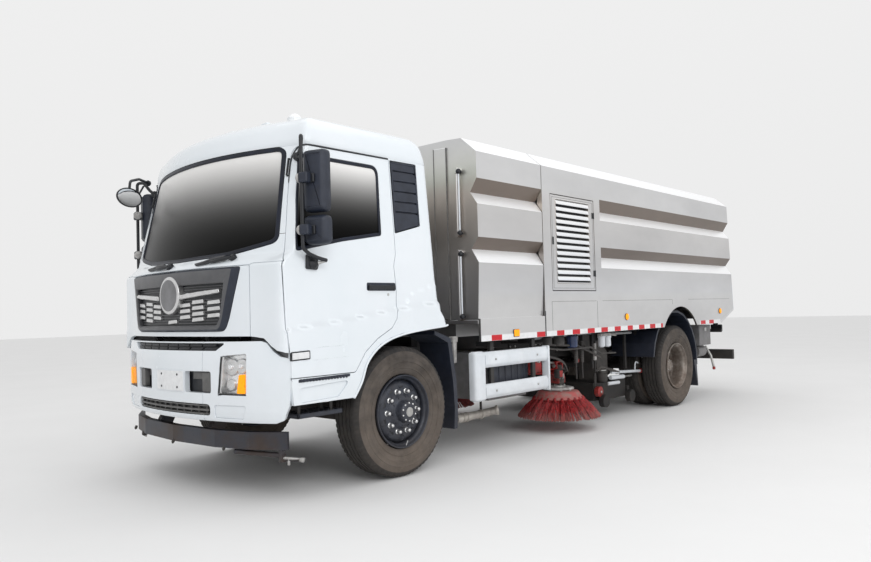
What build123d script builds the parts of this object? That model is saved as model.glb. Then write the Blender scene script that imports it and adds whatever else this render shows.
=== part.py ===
from build123d import *
import os
from math import sin, cos, radians, degrees, atan2, hypot, sqrt, pi

# Street sweeper truck: two-axle cab-over chassis, stainless washing-sweeping body.
# Units mm.  +X is the truck's left side, -Y is forward, +Z is up.
# In the tables below y is counted from the front axle and z from the ground;
# Y_MID carries every piece to the frame whose origin is the middle of the footprint.

# ---------------------------------------------------------------- main sizes
WHEELBASE = 5080
Y_NOSE = -1420            # foremost point, centre of the bumper
Y_TAIL = 7130             # rear face of the rear beam
Y_MID = (Y_NOSE + Y_TAIL) / 2
TYRE_R, TYRE_W, BEAD_R = 525, 290, 288
RIM_R = 297               # outside radius of the rim flange
FRONT_X = 1055            # tyre centre plane, front
REAR_OUT_X, REAR_IN_X = 1079, 749
KING_X = 900              # kingpin axis
HUB_R = 45                # spindle radius, all wheels
FIT = 0.05                # running clearance on a radius
RAIL_X, RAIL_W, RAIL_T = 430, 80, 10      # outer face, flange width, web thickness
RAIL_Z0, RAIL_Z1 = 730, 980
SUB_Z1 = 1080             # top of the body subframe
CAB_PIVOT = (-1305, 1212)                 # y, z of the cab tilt axis
TIP_PIVOT = (6800, 1040)                  # y, z of the hopper tip axis
CYL_X = 220                               # tip cylinders, either side of the centre
CYL_A = (5900, 700)                       # y, z of the lower cylinder pin
CYL_B = (5000, 1050)                      # y, z of the upper cylinder pin, body down
BODY_W = 1250             # half width of the stainless body
SEAM_Y = 1980             # gap between the fixed water tank and the hopper
FLOOR_Z = 1120            # underside of the hopper floor
BROOM = (900, 2700)       # x, y of the side broom's axis
ARM_PIVOT = (500, 2150)   # x, y of the broom arm's vertical axis

SIDE = Plane(origin=(0, -Y_MID, 0), x_dir=(0, 1, 0), z_dir=(1, 0, 0))   # local (y, z), out = +X
TOP = Plane(origin=(0, -Y_MID, 0), x_dir=(1, 0, 0), z_dir=(0, 0, 1))    # local (x, y), out = +Z


def front(y):
    """Vertical plane across the truck at y; local (x, z), out = forward."""
    return Plane(origin=(0, y - Y_MID, 0), x_dir=(1, 0, 0), z_dir=(0, -1, 0))


def poly(plane, pts):
    with BuildSketch(plane) as sk:
        with BuildLine():
            Polyline(*pts, close=True)
        make_face()
    return sk.sketch


def side(x0, x1, pts, mode=Mode.ADD):
    """Side outline (y, z) carried from x0 to x1."""
    extrude(poly(SIDE.offset(x0), pts), amount=x1 - x0, mode=mode)


def plan(z0, z1, pts, mode=Mode.ADD):
    """Plan outline (x, y) carried from z0 to z1."""
    extrude(poly(TOP.offset(z0), pts), amount=z1 - z0, mode=mode)


def face(y0, y1, pts, mode=Mode.ADD):
    """Front outline (x, z) carried from y0 to y1 (y1 > y0)."""
    extrude(poly(front(y1), pts), amount=y1 - y0, mode=mode)


def block(x0, x1, y0, y1, z0, z1, mode=Mode.ADD):
    plan(z0, z1, [(x0, y0), (x1, y0), (x1, y1), (x0, y1)], mode)


def both(x0, x1, y0, y1, z0, z1, mode=Mode.ADD):
    """The same block on the left and on the right."""
    for s in (1, -1):
        a, b = sorted((s * x0, s * x1))
        block(a, b, y0, y1, z0, z1, mode)


def bar(p, q, r, mode=Mode.ADD):
    """Round bar of radius r between two points (x, y, z)."""
    a, b = Vector(*p) - Vector(0, Y_MID, 0), Vector(*q) - Vector(0, Y_MID, 0)
    with BuildSketch(Plane(origin=a, z_dir=b - a)) as sk:
        Circle(r)
    extrude(sk.sketch, amount=(b - a).length, mode=mode)


def pipe(pts, r, bend, mode=Mode.ADD):
    """Bent round tube through points (x, y, z) with one bend radius."""
    p = [Vector(*q) - Vector(0, Y_MID, 0) for q in pts]
    with BuildLine() as ln:
        FilletPolyline(*p, radius=bend)
    with BuildSketch(Plane(origin=p[0], z_dir=p[1] - p[0])) as sk:
        Circle(r)
    sweep(sk.sketch, path=ln.line, mode=mode)


def turned(x0, y, z, pts, mode=Mode.ADD, sign=1):
    """Ring turned about an axis along X through (y, z); pts are (offset from x0, radius)."""
    with BuildSketch(Plane(origin=(x0, y - Y_MID, z), x_dir=(sign, 0, 0), z_dir=(0, -1, 0))) as sk:
        with BuildLine():
            Polyline(*pts, close=True)
        make_face()
    revolve(sk.sketch, axis=Axis((x0, y - Y_MID, z), (1, 0, 0)), mode=mode)


pieces = []


def done(name, builder):
    builder.part.label = name
    pieces.append((name, builder))


# ================================================================ chassis
# cross members: y, z0, z1 (60 long)
CROSS = [(-1080, 740, 940), (1000, 760, 960), (1700, 740, 940), (2650, 740, 940), (4300, 740, 930),
         (6040, 640, 970), (6900, 740, 970)]
with BuildPart() as frame_rails:
    for s in (1, -1):
        # C section rails, open inwards
        face(-1150, 6980, [(s * RAIL_X, RAIL_Z0), (s * (RAIL_X - RAIL_W), RAIL_Z0), (s * (RAIL_X - RAIL_W), RAIL_Z0 + RAIL_T),
                           (s * (RAIL_X - RAIL_T), RAIL_Z0 + RAIL_T), (s * (RAIL_X - RAIL_T), RAIL_Z1 - RAIL_T),
                           (s * (RAIL_X - RAIL_W), RAIL_Z1 - RAIL_T), (s * (RAIL_X - RAIL_W), RAIL_Z1), (s * RAIL_X, RAIL_Z1)])
        # subframe under the body
        a, b = sorted((s * 350, s * RAIL_X))
        block(a, b, 960, 6870, RAIL_Z1, SUB_Z1)
    for y, z0, z1 in CROSS:
        block(-RAIL_X + RAIL_T, RAIL_X - RAIL_T, y - 30, y + 30, z0, z1)
    # cab pivot brackets rising from the front end of the rails
    for s in (1, -1):
        a, b = sorted((s * 380, s * 420))
        py, pz = CAB_PIVOT
        side(a, b, [(-1150, 900), (-1150, 740), (-1000, 740), (-1000, 960), (-1090, 979), (py + 20, pz), (py - 14, pz)])
        bar((a, py, pz), (b, py, pz), 26)
        bar((a, CAB_PIVOT[0], CAB_PIVOT[1]), (b, CAB_PIVOT[0], CAB_PIVOT[1]), 14 + FIT, Mode.SUBTRACT)
    # rear cab rests: posts and a cross tube
    for s in (1, -1):
        a, b = sorted((s * 350, s * RAIL_X))
        block(a, b, 330, 410, RAIL_Z1, 1125)
    # hopper hinge pins
    for s in (1, -1):
        bar((s * (RAIL_X - 20), TIP_PIVOT[0], TIP_PIVOT[1]), (s * 520, TIP_PIVOT[0], TIP_PIVOT[1]), 30)
    # lower pins of the tip cylinders, held by plates on the cross member
    for s in (1, -1):
        for e in (-70, 52):
            side(s * CYL_X + e, s * CYL_X + e + 18, [(6015, 640), (6015, 790), (5930, 760), (5850, 730), (5850, 660), (5930, 640)])
        bar((s * CYL_X - 70, *CYL_A), (s * CYL_X + 70, *CYL_A), 20)
    # brackets over the broom arms' pivots
    for s in (1, -1):
        block(*sorted((s * RAIL_X, s * 560)), ARM_PIVOT[1] - 60, ARM_PIVOT[1] + 60, 770, 800)
    # front tow pin bore bracket, low in the middle
    block(-60, 60, -1200, -1105, 660, 760)
    bar((0, -1150, 600), (0, -1150, 800), 20, Mode.SUBTRACT)
    # rear tow bracket plate on the last cross member
    block(-150, 150, 6925, 6980, 700, 950)
    for x in (-100, 100):
        for z in (745, 905):
            bar((x, 6850, z), (x, 7000, z), 9, Mode.SUBTRACT)
done("frame_rails", frame_rails)

# leaf spring packs: y centre, x centre, z of the axle seat, half length, leaves
with BuildPart() as front_axle:
    # I-beam axle with a dropped middle, kingpin eyes at its ends
    for s in (1, -1):
        face(-45, 45, [(0, 400), (s * 560, 400), (s * 760, 470), (s * 855, 470), (s * 855, 585), (s * 740, 585), (s * 540, 490), (0, 490)])
        bar((s * KING_X, 0, 465), (s * KING_X, 0, 590), 62)
        bar((s * KING_X, 0, 460), (s * KING_X, 0, 595), 25 + FIT, Mode.SUBTRACT)
        a, b = sorted((s * 370, s * 450))
        for k in range(4):
            L = 780 - 170 * k
            rise = 0
            side(a, b, [(-L, 560 - 16 * k + 70 * (L / 780) ** 2), (-L * 0.5, 560 - 16 * k + 17 * (L / 780) ** 2), (0, 560 - 16 * k), (L * 0.5, 560 - 16 * k + 17 * (L / 780) ** 2), (L, 560 - 16 * k + 70 * (L / 780) ** 2),
                        (L, 544 - 16 * k + 70 * (L / 780) ** 2), (L * 0.5, 544 - 16 * k + 17 * (L / 780) ** 2), (0, 544 - 16 * k), (-L * 0.5, 544 - 16 * k + 17 * (L / 780) ** 2), (-L, 544 - 16 * k + 70 * (L / 780) ** 2)])
        block(a - 15, b + 15, -70, 70, 480, 580)
        # spring hangers
        for y in (-780, 780):
            block(a, b, y - 35, y + 35, 615, 729)
done("front_axle", front_axle)

with BuildPart() as rear_axle:
    bar((-590, WHEELBASE, TYRE_R), (590, WHEELBASE, TYRE_R), 68)
    bar((-1015, WHEELBASE, TYRE_R), (1015, WHEELBASE, TYRE_R), HUB_R)
    with BuildSketch(front(WHEELBASE)) as sk:
        with Locations((0, TYRE_R)):
            Circle(205)
    extrude(sk.sketch, amount=150, both=True)
    bar((0, WHEELBASE - 300, TYRE_R + 20), (0, WHEELBASE - 100, TYRE_R + 20), 75)
    for s in (1, -1):
        a, b = sorted((s * 370, s * 460))
        for k in range(5):
            L = 800 - 145 * k
            z = 655 - 17 * k
            side(a, b, [(WHEELBASE - L, z + 45 * (L / 800) ** 2), (WHEELBASE, z), (WHEELBASE + L, z + 45 * (L / 800) ** 2),
                        (WHEELBASE + L, z - 17 + 45 * (L / 800) ** 2), (WHEELBASE, z - 17), (WHEELBASE - L, z - 17 + 45 * (L / 800) ** 2)])
        block(a - 15, b + 15, WHEELBASE - 80, WHEELBASE + 80, 560, 670)
        for y in (WHEELBASE - 800, WHEELBASE + 800):
            block(a, b - 0, y - 35, y + 35, 690, 729)
done("rear_axle", rear_axle)

with BuildPart() as engines:
    block(-300, 300, -940, 160, 560, 1330)                 # chassis engine under the cab
    block(-420, 420, 2130, 2960, SUB_Z1, 1880)             # auxiliary engine and fan behind the louvre doors
done("engines", engines)

with BuildPart() as driveline:
    face(165, 900, [(-150, 560), (150, 560), (190, 700), (150, 860), (-150, 860), (-190, 700)])
    bar((0, 900, 660), (0, 2300, 640), 45)
    bar((0, 2300, 640), (0, WHEELBASE - 305, 548), 45)
done("driveline", driveline)

# bumper outline, half plan: x, y
BUMPER = [(0, -1420), (300, -1405), (540, -1369), (700, -1345), (850, -1295), (1060, -1200), (1200, -1120)]
with BuildPart() as bumper:
    out = BUMPER + [(1200, -1105), (1130, -1105), (1000, -1170), (800, -1265), (540, -1320), (0, -1350)]
    for s in (1, -1):
        plan(565, 1028, [(s * x, y) for x, y in out])
        up = [(0, -1420), (300, -1405), (540, -1369), (700, -1345), (850, -1295), (960, -1245), (900, -1215), (800, -1255), (540, -1320), (0, -1350)]
        plan(1028, 1140, [(s * x, y) for x, y in up])
        # rear ends follow the cab's lower corners
        side(*sorted((s * 900, s * 1300)), [(-1262, 1100), (-1238, 1030), (-1138, 826), (-1128, 560), (-1000, 560), (-1000, 1100)], Mode.SUBTRACT)
        # lamp openings and air openings
        a, b = sorted((s * 216, s * 500))
        block(a, b, -1460, -1300, 780, 924, Mode.SUBTRACT)
        a, b = sorted((s * 655, s * 905))
        block(a, b, -1460, -1180, 760, 1000, Mode.SUBTRACT)
        # carriers back to the rails
        a, b = sorted((s * 390, s * 430))
        block(a, b, -1345, -1151, 800, 900)
    block(-512, 512, -1460, -1330, 600, 675, Mode.SUBTRACT)
    block(-560, 560, -1460, -1330, 1060, 1110, Mode.SUBTRACT)
done("bumper", bumper)

with BuildPart() as lamps:
    for s in (1, -1):
        plan(765, 995, [(s * 660, -1352), (s * 900, -1272), (s * 900, -1190), (s * 660, -1262)])
        # tail lamps
        a, b = sorted((s * 910, s * 1085))
        block(a, b, 6955, 7005, 900, 1005)
done("lamps", lamps)

with BuildPart() as spray_bar:
    for s in (1, -1):
        plan(375, 500, [(0, -1370), (s * 540, -1330), (s * 850, -1240), (s * 1100, -1090), (s * 1085, -1062), (s * 840, -1190), (s * 535, -1275), (0, -1315)])
        a, b = sorted((s * 300, s * 360))
        side(*sorted((s * 360, s * 420)), [(-1300, 380), (-1300, 470), (-1130, 730), (-1050, 730), (-1220, 380)])
        bar((s * 700, -1262, 350), (s * 1060, -1082, 330), 18)
        bar((s * 1040, -1092, 300), (s * 1160, -1000, 300), 12)
        block(*sorted((s * 1025, s * 1060)), -1112, -1077, 285, 380)
done("spray_bar", spray_bar)


def arc_band(cy, cz, r0, r1, a0, a1, n=6):
    """Band round (cy, cz) between two radii from angle a0 to a1 in n flats."""
    t = [radians(a0 + (a1 - a0) * i / n) for i in range(n + 1)]
    return [(cy + r1 * cos(u), cz + r1 * sin(u)) for u in t] + [(cy + r0 * cos(u), cz + r0 * sin(u)) for u in reversed(t)]


with BuildPart() as mudguards:
    for s in (1, -1):
        # front: rear half of the arch and its flap, carried by a stay from the rail
        a, b = sorted((s * 800, s * 1150))
        side(a, b, [(640, 1087), (700, 700), (711, 474), (700, 290), (655, 290), (668, 474), (655, 700), (600, 1050), (430, 1128), (430, 1160)])
        bar((s * RAIL_X, 690, 860), (s * 820, 690, 860), 18)
        # rear: full arch over the twin wheel, with its flap
        a, b = sorted((s * 610, s * 1200))
        side(a, b, arc_band(WHEELBASE, TYRE_R + 60, 640, 668, -8, 172, 12))
        side(a, b, [(5630, 560), (5715, 560), (5745, 200), (5725, 200)])
        bar((s * RAIL_X, 4520, 900), (s * 640, 4520, 900), 18)
        bar((s * RAIL_X, 5650, 900), (s * 640, 5650, 900), 18)
done("mudguards", mudguards)

# guard rails: z0, z1
with BuildPart() as side_guards:
    for s in (1, -1):
        a, b = sorted((s * 1150, s * 1225))
        bar((s * 1150, 960, 500), (s * 1150, 960, 950), 75)
        for z0, z1 in ((505, 650), (795, 945)):
            block(*sorted((s * 1180, s * 1225)), 960, 2045, z0, z1)
        block(a, b, 2030, 2060, 490, 955)
        for y in (1180, 1850):
            block(*sorted((s * 1120, s * 1180)), y, y + 40, 505, 1010)
            block(*sorted((s * RAIL_X, s * 1180)), y, y + 40, 960, 1010)
done("side_guards", side_guards)

with BuildPart() as tanks:
    # fuel tank (left), battery box (right), air tanks, tool box behind the rear wheels
    block(520, 1080, 1230, 1840, 470, 920)
    block(430, 520, 1300, 1340, 740, 900)
    block(430, 520, 1730, 1770, 740, 900)
    block(-1080, -520, 1230, 1840, 500, 920)
    block(-520, -430, 1300, 1340, 740, 900)
    block(-520, -430, 1730, 1770, 740, 900)
    bar((-560, 2250, 820), (-560, 3100, 820), 130)
    block(-560, -430, 2400, 2440, 790, 850)
    block(-560, -430, 2900, 2940, 790, 850)
    for s in (1, -1):
        block(*sorted((s * RAIL_X, s * 1100)), 6070, 6475, 730, 1018)
        bar((s * 980, 6160, 640), (s * 980, 6420, 640), 80)
done("tanks", tanks)

# half outline of the body's cross section: x, z
PROFILE = [(1250, 1042), (1250, 1760), (1170, 1885), (1250, 1992), (1250, 2295), (1170, 2405), (1250, 2530), (1250, 2775), (1076, 2922), (900, 2932), (0, 2938)]
with BuildPart() as water_tank:
    for s in (1, -1):
        face(940, SEAM_Y - 10, [(0, 1240)] + [(s * x, z) for x, z in [(1225, 1240)] + PROFILE[1:]])
        block(*sorted((s * 1225, s * 1250)), 940, SEAM_Y - 10, 1042, 1250)
    block(-900, 900, 1000, 1900, SUB_Z1, 1240)
    # filler pipe, open at its end
    bar((-700, 945, 1900), (-700, 880, 1900), 45)
    bar((-700, 900, 1900), (-700, 870, 1900), 38, Mode.SUBTRACT)
    # sight tubes on the front face
    for s in (1, -1):
        for z0, z1 in ((1262, 1858), (2030, 2620)):
            bar((s * 1040, 905, z0), (s * 1040, 905, z1), 12)
            for z in (z0, z1):
                bar((s * 1040, 945, z), (s * 1040, 885, z), 28)
done("water_tank", water_tank)

with BuildPart() as suction_head:
    # suction mouth, open below
    plan(210, 420, [(-880, 3480), (880, 3480), (940, 3600), (940, 4150), (820, 4280), (-820, 4280), (-940, 4150), (-940, 3600)])
    plan(150, 380, [(-840, 3530), (840, 3530), (890, 3620), (890, 4130), (790, 4230), (-790, 4230), (-890, 4130), (-890, 3620)], Mode.SUBTRACT)
    for s in (1, -1):
        # outlets under the ducts
        bar((s * 640, 3900, 370), (s * 640, 3900, 430), 118, Mode.SUBTRACT)
        # side links to the rails
        bar((s * 500, 4200, 400), (s * 500, 4200, 900), 22)
        bar((s * RAIL_X, 4200, 880), (s * 520, 4200, 880), 30)
        # casters on the ends of the mouth
        for y in (3560, 4200):
            block(*sorted((s * 925, s * 950)), y - 30, y + 30, 200, 330)
            bar((s * 945, y, 210), (s * 1010, y, 210), 75)
done("suction_head", suction_head)

with BuildPart() as suction_ducts:
    # from the mouth's top up to the hopper floor, by straight mitred runs
    for s in (1, -1):
        # half width, lower end, upper end
        for h, z0, z1, m in ((130, 420, 1110, Mode.ADD), (118, 400, 1120, Mode.SUBTRACT)):
            side(s * 640 - h, s * 640 + h, [(3900 + h, z0), (3900 + h, 700 + 0.472 * h), (3560 + h, 980 + 0.472 * h), (3560 + h, z1),
                                            (3560 - h, z1), (3560 - h, 980 - 0.472 * h), (3900 - h, 700 - 0.472 * h), (3900 - h, z0)], m)
done("suction_ducts", suction_ducts)

with BuildPart() as rear_beam:
    block(-1190, 1190, 7070, Y_TAIL, 476, 620)
    for s in (1, -1):
        side(*sorted((s * 360, s * 420)), [(7075, 480), (7075, 620), (7030, 730), (6981, 960), (6981, 700), (7010, 480)])
        # tail lamp brackets
        block(*sorted((s * RAIL_X, s * 1085)), 6925, 6955, 890, 940)
done("rear_beam", rear_beam)

# ================================================================ cab
# plan sections of the cab: z, half width, y at centre front, y at the corner's start, x there, y where the side starts, y rear
SECTIONS = [(1185, 1200, -1372, -1245, 900, -1145, 470), (1705, 1200, -1366, -1243, 900, -1143, 430), (2590, 1140, -1140, -950, 945, -860, 415),
            (2760, 1070, -1045, -880, 850, -790, 360), (2850, 880, -850, -760, 650, -650, 200)]
SEC_BELT = (1790, 1200, -1278, -1105, 1055, -1035, 430)
WALL = 60


def cab_section(sec, t=0):
    """Corner points of one plan section, shrunk by t all round."""
    z, w, yc, ya, xa, ys, yr = sec
    w, yc, ya, xa, ys, yr = w - t, yc + t, ya + t, xa - t * 0.7, ys + t * 0.7, yr - t
    ym = yc + (ya - yc) * 0.25
    return [Vector(x, y - Y_MID, z) for x, y in
            [(xa, ya), (w, ys), (w, yr), (-w, yr), (-w, ys), (-xa, ya), (-xa / 2, ym), (0, yc), (xa / 2, ym)]]


def flats(a, b, c, d):
    """One flat face through four corners, or two triangles where they don't lie in one plane."""
    n = (b - a).cross(c - a)
    if n.length < 1e-6 or abs(n.normalized().dot(d - a)) < 1e-6:
        return [Face(Wire.make_polygon([a, b, c, d]))]
    return [Face(Wire.make_polygon([a, b, c])), Face(Wire.make_polygon([a, c, d]))]


def cab_body(t=0):
    """Faceted body through the plan sections; t shrinks it evenly for the inside of the wall."""
    secs = [list(q) for q in [SECTIONS[0], SECTIONS[1], SEC_BELT] + SECTIONS[2:]]
    if t:
        secs[0][0] += t
        secs[-1][0] -= t
    rings = [cab_section(q, t) for q in secs]
    faces = [Face(Wire.make_polygon(rings[0])), Face(Wire.make_polygon(rings[-1]))]
    for lo, hi in zip(rings, rings[1:]):
        for i in range(len(lo)):
            j = (i + 1) % len(lo)
            faces += flats(lo[i], lo[j], hi[j], hi[i])
    return Solid(Shell(faces))


CAB = {t: cab_body(t) for t in (0, 15, 20, 22, 28, WALL)}


def cab_loft(t=0, mode=Mode.ADD):
    add(CAB[t], mode=mode)


# door outline, side view (y, z); its front edge is the pillar line below
DOOR = [(-1400, 880), (-1400, 2588), (-56, 2588), (-58, 1600), (-56, 1300), (-150, 1205), (-495, 930), (-560, 880)]
WINDOW = [(-1035, 1795), (-975, 2505), (-175, 2502), (-195, 1945)]
# pillar line, the front edge of the door: z, x, y, outward direction of the skin (nx, ny)
PILLAR = [(700, 1200, -1132, 1.0, 0.0), (1720, 1200, -1132, 1.0, 0.0), (1800, 1150, -1095, 0.46, -0.89), (2700, 975, -905, 0.43, -0.90)]
DOOR_GAP = 6


def grown(pts, d):
    """Outline grown by d, for the opening round a panel."""
    with BuildSketch(SIDE) as sk:
        with BuildLine():
            Polyline(*pts, close=True)
        make_face()
        if d:
            offset(amount=d, kind=Kind.INTERSECTION)
    return sk.sketch


def pillar(gap):
    """All that lies ahead of the door's front edge, left side."""
    rings = []
    for z, x, y, nx, ny in PILLAR:
        fx, fy = ny, -nx
        x, y = x + fx * gap, y + fy * gap
        rings.append([Vector(px, py - Y_MID, z) for px, py in
                      [(x + 400 * nx, y + 400 * ny), (x - 250 * nx, y - 250 * ny), (x - 250 * nx + 900 * fx, y - 250 * ny + 900 * fy), (x + 400 * nx + 900 * fx, y + 400 * ny + 900 * fy)]])
    faces = [Face(Wire.make_polygon(rings[0])), Face(Wire.make_polygon(rings[-1]))]
    for lo, hi in zip(rings, rings[1:]):
        for i in range(4):
            j = (i + 1) % 4
            faces += flats(lo[i], lo[j], hi[j], hi[i])
    return Solid(Shell(faces))


def door_space(gap):
    """Space of the left door with a gap all round: thin below the belt, round the corner above it."""
    o = grown(DOOR, gap)
    low = extrude(Pos(1135, 0, 0) * o, amount=165) & Pos(1250, -Y_MID - 600, 1240) * Box(400, 2000, 1000)
    high = extrude(Pos(930, 0, 0) * o, amount=370) & Pos(1150, -Y_MID - 600, 2235) * Box(600, 2000, 1000)
    return (low + high) - pillar(gap)


SPACE = {1: (door_space(0), door_space(DOOR_GAP),
             extrude(Pos(1060, 0, 0) * grown(WINDOW, 0), amount=240) - pillar(-45),
             extrude(Pos(1060, 0, 0) * grown(WINDOW, -2), amount=240) - pillar(-47))}
SPACE[-1] = tuple(mirror(q, about=Plane.YZ) for q in SPACE[1])
ARCH = [(-640, 600), (-560, 695), (-474, 812), (-420, 938), (-262, 1079), (-18, 1154), (543, 1206), (600, 1206), (600, 600)]
with BuildPart() as cab_shell:
    cab_loft()
    # lower side panels with the step wells and the wheel arch
    for s in (1, -1):
        side(*sorted((s * 720, s * 1200)), [(-1160, 1200), (-1160, 1073), (-1118, 826), (-1100, 685), (-550, 690), (-474, 812), (-420, 938), (-262, 1079), (-18, 1154), (543, 1206), (500, 1260), (-600, 1260)])
    cab_loft(WALL, Mode.SUBTRACT)
    for s in (1, -1):
        side(*sorted((s * 770, s * 1150)), [(-1100, 1300), (-1100, 1085), (-1050, 740), (-680, 740), (-640, 900), (-480, 1120), (-480, 1300)], Mode.SUBTRACT)
        # room for the steered wheel
        with BuildSketch(TOP.offset(600)) as sk:
            with Locations((s * KING_X, 0)):
                Circle(615)
        extrude(sk.sketch & poly(TOP.offset(600), [(s * 600, -700), (s * 1165, -700), (s * 1165, 700), (s * 600, 700)]), amount=470, mode=Mode.SUBTRACT)
        # door openings
        add(SPACE[s][1], mode=Mode.SUBTRACT)
    # floor hump over the engine, open below
    block(-370, 370, -1000, 230, 1240, 1420)
    block(-330, 330, -960, 190, 1100, 1380, Mode.SUBTRACT)
    # windscreen and rear window
    face(-1500, -700, [(-1022, 1850), (1022, 1850), (905, 2575), (-905, 2575)], Mode.SUBTRACT)
    face(300, 600, [(-600, 1950), (600, 1950), (600, 2400), (-600, 2400)], Mode.SUBTRACT)
    # recess for the pivot bracket, then the pivot tube and its cheeks
    for s in (1, -1):
        block(*sorted((s * 372, s * 428)), -1337, -1150, 1100, 1260, Mode.SUBTRACT)
    bar((-480, *CAB_PIVOT), (480, *CAB_PIVOT), 14)
    for s in (1, -1):
        block(*sorted((s * 430, s * 480)), CAB_PIVOT[0] - 22, -1200, 1186, 1250)
done("cab_shell", cab_shell)

for s, tag in ((1, "left"), (-1, "right")):
    with BuildPart() as door:
        cab_loft()
        side(*sorted((s * 720, s * 1200)), [(-1160, 1200), (-1160, 860), (-500, 860), (-262, 1079), (543, 1206), (500, 1260), (-600, 1260)])
        cab_loft(WALL, Mode.SUBTRACT)
        side(*sorted((s * 700, s * 1140)), [(-1200, 1300), (-1200, 800), (600, 800), (600, 1300)], Mode.SUBTRACT)
        add(SPACE[s][0], mode=Mode.INTERSECT)
        add(SPACE[s][2], mode=Mode.SUBTRACT)
        side(*sorted((s * 1195, s * 1225)), [(-360, 1510), (-360, 1550), (-86, 1550), (-86, 1510)])
    done("door_" + tag, door)
    with BuildPart() as door_glass:
        cab_loft(20)
        cab_loft(28, Mode.SUBTRACT)
        add(SPACE[s][3], mode=Mode.INTERSECT)
    done("door_glass_" + tag, door_glass)
    with BuildPart() as mirror:
        pipe([(s * 1190, -1090, 2530), (s * 1400, -1140, 2560), (s * 1400, -1140, 1720), (s * 1196, -980, 1660)], 15, 60)
        block(*sorted((s * 1290, s * 1450)), -1120, -1000, 2030, 2490)
        block(*sorted((s * 1300, s * 1450)), -1110, -1000, 1800, 2000)
        block(*sorted((s * 1196, s * 1235)), -1010, -950, 1600, 1700)
        add(door.part, mode=Mode.SUBTRACT)
    done("mirror_" + tag, mirror)

with BuildPart() as cab_glass:
    cab_loft(15)
    cab_loft(22, Mode.SUBTRACT)
    with BuildSketch(front(-700)) as sk:
        with BuildLine():
            Polyline((-1020, 1852), (1020, 1852), (903, 2573), (-903, 2573), close=True)
        make_face()
    wind = extrude(sk.sketch, amount=800, mode=Mode.PRIVATE)
    with BuildSketch(front(600)) as sk:
        with BuildLine():
            Polyline((-598, 1952), (598, 1952), (598, 2398), (-598, 2398), close=True)
        make_face()
    rearw = extrude(sk.sketch, amount=300, mode=Mode.PRIVATE)
    add(wind + rearw, mode=Mode.INTERSECT)
done("cab_glass", cab_glass)

with BuildPart() as cab_trim:
    # grille on the nose
    plan(1236, 1690, [(-860, -1278), (-450, -1358), (0, -1390), (450, -1358), (860, -1278), (860, -1262), (450, -1344), (0, -1376), (-450, -1344), (-860, -1262)])
    face(-1400, -1240, [(-621, 1236), (621, 1236), (809, 1690), (-809, 1690)], Mode.INTERSECT)
    for s in (1, -1):
        # vent panels behind the doors
        with BuildSketch(SIDE.offset(s * 1140)) as sk:
            with BuildLine():
                Polyline((-46, 2575), (262, 2578), (258, 2050), (-46, 1975), close=True)
            make_face()
        extrude(sk.sketch, amount=s * 62)
    # convex mirror ahead of the right corner, its face towards the driver
    with BuildSketch(Plane(origin=(-918, -1275 - Y_MID, 2405), x_dir=(-0.342, 0.9397, 0), z_dir=(0.9397, 0.342, 0))) as sk:
        Ellipse(150, 90)
    extrude(sk.sketch, amount=40)
    bar((-900, -1268, 2440), (-1120, -980, 2600), 12)
    # beacon on the roof
    with BuildSketch(TOP.offset(2845)) as sk:
        with Locations((620, -600)):
            Circle(75)
    extrude(sk.sketch, amount=150)
    add(cab_shell.part, mode=Mode.SUBTRACT)
done("cab_trim", cab_trim)

with BuildPart() as cab_interior:
    for s in (1, -1):
        block(s * 640 - 240, s * 640 + 240, -520, -20, 1255, 1640)
        block(s * 640 - 240, s * 640 + 240, -30, 110, 1640, 2300)
    plan(1480, 1780, [(-920, -860), (920, -860), (920, -1020), (600, -1130), (-600, -1130), (-920, -1020)])
    bar((640, -900, 1700), (640, -760, 1800), 30)
    with BuildSketch(Plane(origin=(640, -760 - Y_MID, 1800), z_dir=(0, 0.58, 0.81))) as sk:
        Circle(230)
        Circle(200, mode=Mode.SUBTRACT)
        Rectangle(420, 40)
    extrude(sk.sketch, amount=30)
done("cab_interior", cab_interior)

with BuildPart() as cab_steps:
    for s in (1, -1):
        block(*sorted((s * 950, s * 1190)), -1060, -640, 600, 625)
        for y in (-1040, -680):
            block(*sorted((s * 1000, s * 1030)), y, y + 20, 610, 684)
done("cab_steps", cab_steps)

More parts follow.
